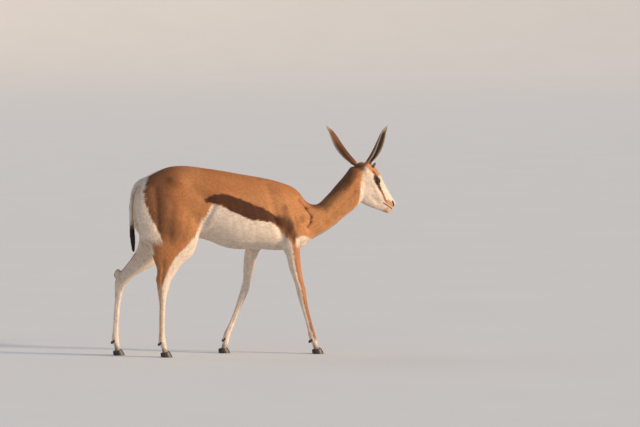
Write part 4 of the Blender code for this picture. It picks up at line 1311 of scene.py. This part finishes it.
def lay_on(tree, points, heights, ups):
    """Drops points onto the skin and lifts them to their heights over it."""
    laid = np.empty_like(points)
    for i, point in enumerate(points):
        place, normal, _, _ = tree.find_nearest(point)
        side = normal if normal.dot(ups[i]) > 0 else Vector(ups[i])
        laid[i] = place + side * float(heights[i])
    return laid


def coat_regions(roots):
    """Which tufts go into each piece of the coat."""
    x, y, z = roots.T
    on_head = past_throat(roots) > 0
    ears = np.zeros(len(roots), bool)
    for side, tip, opening in EARS:
        share, _, near, _ = in_ear(roots, side, tip, opening)
        ears |= (share > 0.12) & (near < EAR_HALO)
    on_head &= ~ears
    neck = (x > 0.20) & (z > LEG_COAT_TOP) & ~on_head & ~ears
    tail = tail_share(roots) > 0.5
    legs = (z < LEG_COAT_TOP) & ~on_head & ~tail
    body = ~(on_head | ears | neck | legs | tail)
    left, fore = y > 0, x > FORE_FROM
    return {
        "coat_head": on_head,
        "coat_ears": ears,
        "coat_neck": neck,
        "coat_tail": tail,
        "coat_fore_legs": legs & fore,
        "coat_hind_legs": legs & ~fore,
        "coat_fore_right": body & ~left & fore,
        "coat_fore_left": body & left & fore,
        "coat_hind_right": body & ~left & ~fore,
        "coat_hind_left": body & left & ~fore,
    }


def unwrap(thing):
    """Adds the OFBake map: the skin's own faces laid flat, by the way they face."""
    layer = thing.data.uv_layers.new(name="OFBake")
    thing.data.uv_layers.active = layer
    bpy.context.view_layer.objects.active = thing
    thing.select_set(True)
    bpy.ops.object.mode_set(mode="EDIT")
    bpy.ops.mesh.select_all(action="SELECT")
    bpy.ops.uv.smart_project(angle_limit=radians(66), island_margin=0.003)
    bpy.ops.object.mode_set(mode="OBJECT")
    thing.select_set(False)


def settle(thing):
    """Moves a finished piece over the origin and gives it its body."""
    places, _ = read_vertices(thing.data)
    places[:, 0] -= MIDDLE_X
    write_vertices(thing.data, places)
    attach(thing, "root")


# ---- eyes, horns and hooves ----
def make_eyes():
    made, shader = new_material("eye", 0.10, coat=0.5)
    set_inputs(shader, Specular_IOR_Level=0.25)
    node = add_node(made, "ShaderNodeAttribute", attribute_name="Coat")
    made.node_tree.links.new(node.outputs["Color"], shader.inputs["Base Color"])
    for side, word in ((-1, "right"), (1, "left")):
        middle, slit, up, out = eye_axes(side)
        bm = bmesh.new()
        turn = Matrix((slit, up, out)).transposed().to_4x4()
        place = Matrix.Translation(middle) @ turn
        bmesh.ops.create_uvsphere(bm, u_segments=48, v_segments=32, radius=EYE_RADIUS, matrix=place)
        eye = add_object(f"eyeball_{word}", bm)
        places, _ = read_vertices(eye.data)
        away = (places - middle) / EYE_RADIUS
        x, y = away @ slit, away @ up
        ahead = away @ out > 0
        spread = np.hypot(x, y)
        bulge = 0.0007 * ease(0.62, 0.10, spread) * ahead
        write_vertices(eye.data, places + unit(places - middle) * bulge[:, None])
        pupil = ease(0.05, -0.03, np.maximum(np.abs(x) - 0.30, np.abs(y) - 0.10))
        iris = mix(IRIS[0], IRIS[1], ease(0.2, 0.5, spread))
        iris = mix(iris, IRIS[2], ease(0.56, 0.64, spread))
        colour = mix(iris, PUPIL, pupil)
        paint(eye.data, colour)
        eye.data.shade_smooth()
        eye.data.materials.append(made)
        settle(eye)
        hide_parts(f"eye_{word}")
        make_lid(word, middle, slit, up, out)


def make_lid(word, middle, slit, up, out):
    """The dark moist margin of both lids, as one closed ring over the eyeball."""
    long, rise, drop = EYE_SLIT
    steps, sides, thick = 96, 10, 0.00105
    bm = bmesh.new()
    angles = np.arange(steps) * 2 * pi / steps
    x = long * np.cos(angles)
    arch = 1 - (x / long) ** 2
    y = np.where(np.sin(angles) >= 0, rise * arch, -drop * arch)
    flat = np.stack([x, y], axis=1) * 1.02
    deep = np.sqrt(np.maximum((EYE_RADIUS + 0.0005) ** 2 - (flat**2).sum(axis=1), 1e-9))
    line = middle + flat[:, :1] * slit + flat[:, 1:] * up + deep[:, None] * out
    ways = unit(np.roll(line, -1, axis=0) - np.roll(line, 1, axis=0))
    high = unit(line - middle)
    beside = np.cross(ways, high)
    loops = []
    for i in range(steps):
        loop = []
        for k in range(sides):
            angle = 2 * pi * k / sides
            place = line[i] + thick * (cos(angle) * beside[i] * 1.25 + sin(angle) * high[i] * 0.9)
            loop.append(bm.verts.new(place))
        loops.append(loop)
    for i in range(steps):
        one, two = loops[i], loops[(i + 1) % steps]
        for k in range(sides):
            n = (k + 1) % sides
            bm.faces.new((one[k], one[n], two[n], two[k]))
    bmesh.ops.recalc_face_normals(bm, faces=bm.faces)
    lid = add_object(f"lid_{word}", bm)
    made, shader = new_material(f"lid_{word}", 0.42, LID)
    add_bump(made, shader, add_noise(made, 900.0), 0.3, 0.0003)
    lid.data.materials.append(made)
    lid.data.shade_smooth()
    settle(lid)
    upper = [i for i in range(steps) if 0.12 < angles[i] / pi < 0.90]
    picked = [upper[int(k * (len(upper) - 1) / (LASHES - 1))] for k in range(LASHES)]
    lash = bmesh.new()
    for i in picked:
        outward = unit(out * 1.0 + up * 0.75 + slit * (0.9 * x[i] / long))
        start = line[i] + high[i] * 0.0008
        reach = 0.0062 + 0.0016 * sin(i * 2.7)
        ring = [start + 0.00028 * (cos(a) * ways[i] + sin(a) * high[i]) for a in (0.5, 2.6, 4.7)]
        bend = start + outward * reach * 0.55 + up * 0.0004
        middle = [bend + (place - start) * 0.8 for place in ring]
        base, top = ([lash.verts.new(place) for place in loop] for loop in (ring, middle))
        tip = lash.verts.new(start + outward * reach + up * 0.0018)
        lash.faces.new(base)
        for k in range(3):
            n = (k + 1) % 3
            lash.faces.new((base[k], base[n], top[n], top[k]))
            lash.faces.new((top[k], top[n], tip))
    bmesh.ops.recalc_face_normals(lash, faces=lash.faces)
    lashes = add_object(f"lashes_{word}", lash)
    lashes.data.materials.append(made)
    settle(lashes)


def turned_spike(root, direction, length, radius, rings):
    """A blunt cone in fine steps, ringed as horn grows."""
    bm = bmesh.new()
    turn = direction.normalized().to_track_quat("Z", "Y").to_matrix().to_4x4()
    loops = []
    for step in range(41):
        t = step / 40
        height = -0.35 + 1.35 * t
        share = np.interp(height, (-0.35, 0.35, 0.80, 0.95, 1.0), (1.0, 0.88, 0.55, 0.32, 0.12))
        ring = 1 + 0.045 * sin(height * rings * 2 * pi) * (height < 0.75)
        place = Matrix.Translation(root) @ turn @ Matrix.Translation((0.0, 0.0, length * height))
        loop = []
        for k in range(32):
            a = 2 * pi * k / 32
            x, y = radius * share * ring * cos(a), radius * share * ring * sin(a)
            loop.append(bm.verts.new(place @ Vector((x, y, 0.0))))
        loops.append(loop)
    close_rings(bm, loops)
    return bm


def horn_material(name, colour, streak):
    """Dark horn, streaked along its growth, duller where it is rough."""
    made, shader = new_material(name, 0.42)
    link = made.node_tree.links.new
    noise = add_noise(made, 220.0, 6.0, streak)
    low, high = [c * 0.7 for c in colour], [min(c * 2.2, 1.0) for c in colour]
    rough = add_node(made, "ShaderNodeMapRange")
    set_inputs(rough, To_Min=0.34, To_Max=0.62)
    link(add_ramp(made, noise, low, high, (0.30, 0.75)), shader.inputs["Base Color"])
    link(noise, rough.inputs["Value"])
    link(rough.outputs["Result"], shader.inputs["Roughness"])
    add_bump(made, shader, noise, 0.4, 0.0004)
    return made


def make_horns():
    made = horn_material("horn", HORN, (1.0, 1.0, 0.25))
    for side, word in ((-1, "right"), (1, "left")):
        root = on_side(HORN_AT, side)
        way = skull(-0.25, 1.0, side * 0.10) - skull(0, 0, 0)
        bud = add_object(f"bud_{word}", turned_spike(root, way, HORN_LENGTH, HORN_RADIUS, 5))
        bud.data.shade_smooth()
        bud.data.materials.append(made)
        settle(bud)
        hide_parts(f"horn_{word}")


def fine_hoof(middle, side):
    """A cloven hoof in fine steps, with the faint rings of its growth."""
    bm = bmesh.new()
    long, wide = HOOF_LENGTH / 2, HOOF_WIDTH / 2
    loops = []
    for step in range(25):
        height = step / 24
        heights, shares = (0.0, 0.04, 0.35, 0.75, 0.93, 1.0), (0.965, 1.0, 0.95, 0.83, 0.76, 0.66)
        share = np.interp(height, heights, shares)
        shift = np.interp(height, (0.0, 0.35, 0.75, 1.0), (0.0, 0.10, 0.24, 0.34))
        share *= 1 + 0.006 * sin(height * 7 * 2 * pi) * (0.1 < height < 0.9)
        loop = []
        for k in range(48):
            angle = 2 * pi * k / 48
            toe = max(cos(angle), 0.0)
            x = long * share * cos(angle) - long * shift
            y = wide * share * sin(angle) * (1 - 0.25 * toe)
            y -= side * wide * 0.45 * toe * toe * share
            z = height * (HOOF_HEIGHT - 0.008 * (1 - cos(angle)) / 2)
            loop.append(bm.verts.new(middle + Vector((x, y, z))))
        loops.append(loop)
    close_rings(bm, loops)
    return bm


def make_hooves():
    made = horn_material("hoof", HOOF, (1.0, 1.0, 0.22))
    for foot in FEET:
        for middle, side in toes(foot):
            word = "inner" if side * middle.y < 0 else "outer"
            hoof = add_object(f"hoof_{foot}_{word}", fine_hoof(middle, side))
            hoof.data.shade_smooth()
            hoof.data.set_sharp_from_angle(angle=radians(50))
            hoof.data.materials.append(made)
            settle(hoof)
            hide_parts(f"{foot}_hoof_{word}")
        for root, way in dewclaws(foot):
            word = "inner" if abs(root.y) < abs(FEET[foot][1]) else "outer"
            claw = turned_spike(root, way, DEWCLAW_LENGTH, DEWCLAW_RADIUS, 3)
            claw = add_object(f"dewclaw_{foot}_{word}", claw)
            claw.data.shade_smooth()
            claw.data.materials.append(made)
            settle(claw)
            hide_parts(f"{foot}_dewclaw_{word}")


# ---- camera, floor and light ----
def make_camera():
    """From the animal's right and a little behind, a long way off."""
    azimuth, elevation, away = radians(-15), radians(3), 18.9
    aim = Vector((0.267 - MIDDLE_X, -0.0716, 0.598))
    back = Vector((sin(azimuth) * cos(elevation), -cos(azimuth) * cos(elevation), sin(elevation)))
    data = bpy.data.cameras.new("camera")
    data.lens, data.sensor_width = 250.0, 36.0
    data.clip_end = 6000.0
    camera = link_object("camera", data)
    camera.location = aim + back * away
    camera.rotation_mode = "QUATERNION"
    camera.rotation_quaternion = (-back).to_track_quat("-Z", "Y")
    bpy.context.scene.camera = camera


def add_lamp(name, place, strength, spread, colour):
    """Soft light from far away in the given direction."""
    data = bpy.data.lights.new(name, "SUN")
    data.energy, data.angle, data.color = strength, radians(spread), colour
    lamp = link_object(name, data)
    lamp.location = place
    lamp.rotation_mode = "QUATERNION"
    lamp.rotation_quaternion = Vector(place).to_track_quat("Z", "Y")


def make_stage():
    """A pale floor that curves up, far away, into a low wall all round."""
    bm = bmesh.new()
    rise = np.linspace(0, pi / 2, 9)
    rings = [(2.0, 0.0), (12.0, 0.0)] + [(50.0 + 10 * sin(a), 10 * (1 - cos(a))) for a in rise]
    loops = []
    for radius, height in rings:
        places = [(radius * cos(k * pi / 48), radius * sin(k * pi / 48), height) for k in range(96)]
        loops.append([bm.verts.new(place) for place in places])
    for one, two in zip(loops, loops[1:]):
        for k in range(96):
            n = (k + 1) % 96
            bm.faces.new((one[k], two[k], two[n], one[n]))
    bm.faces.new(loops[0])
    floor = add_object("floor", bm)
    floor.data.shade_smooth()
    made, shader = new_material("floor", 0.9)
    tint = add_ramp(made, add_noise(made, 1.5), *FLOOR_TINTS)
    made.node_tree.links.new(tint, shader.inputs["Base Color"])
    floor.data.materials.append(made)
    world = bpy.data.worlds.new("world")
    world.use_nodes = True
    sky = world.node_tree.nodes["Background"]
    set_inputs(sky, Color=(*SKY, 1.0), Strength=0.44)
    bpy.context.scene.world = world
    bpy.context.scene.view_settings.view_transform = "Standard"
    add_lamp("key", (4.1, -2.7, 1.5), 4.1, 8.0, SUNLIGHT)
    add_lamp("rim", (-3.0, 2.6, 2.8), 0.35, 30.0, SKYLIGHT)


def build():
    make_camera()
    make_stage()
    skin = make_skin()
    unwrap(skin)
    places, normals = read_vertices(skin.data)
    paint(skin.data, markings(places, normals))
    skin.data.materials.clear()
    skin.data.materials.append(coat_material("skin", bump=True))
    grow_coat(skin)
    hard = ("eye", "horn", "hoof", "dewclaw")
    flesh = [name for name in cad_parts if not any(word in name for word in hard)]
    settle(skin)
    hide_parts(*flesh)
    make_eyes()
    make_horns()
    make_hooves()


build()
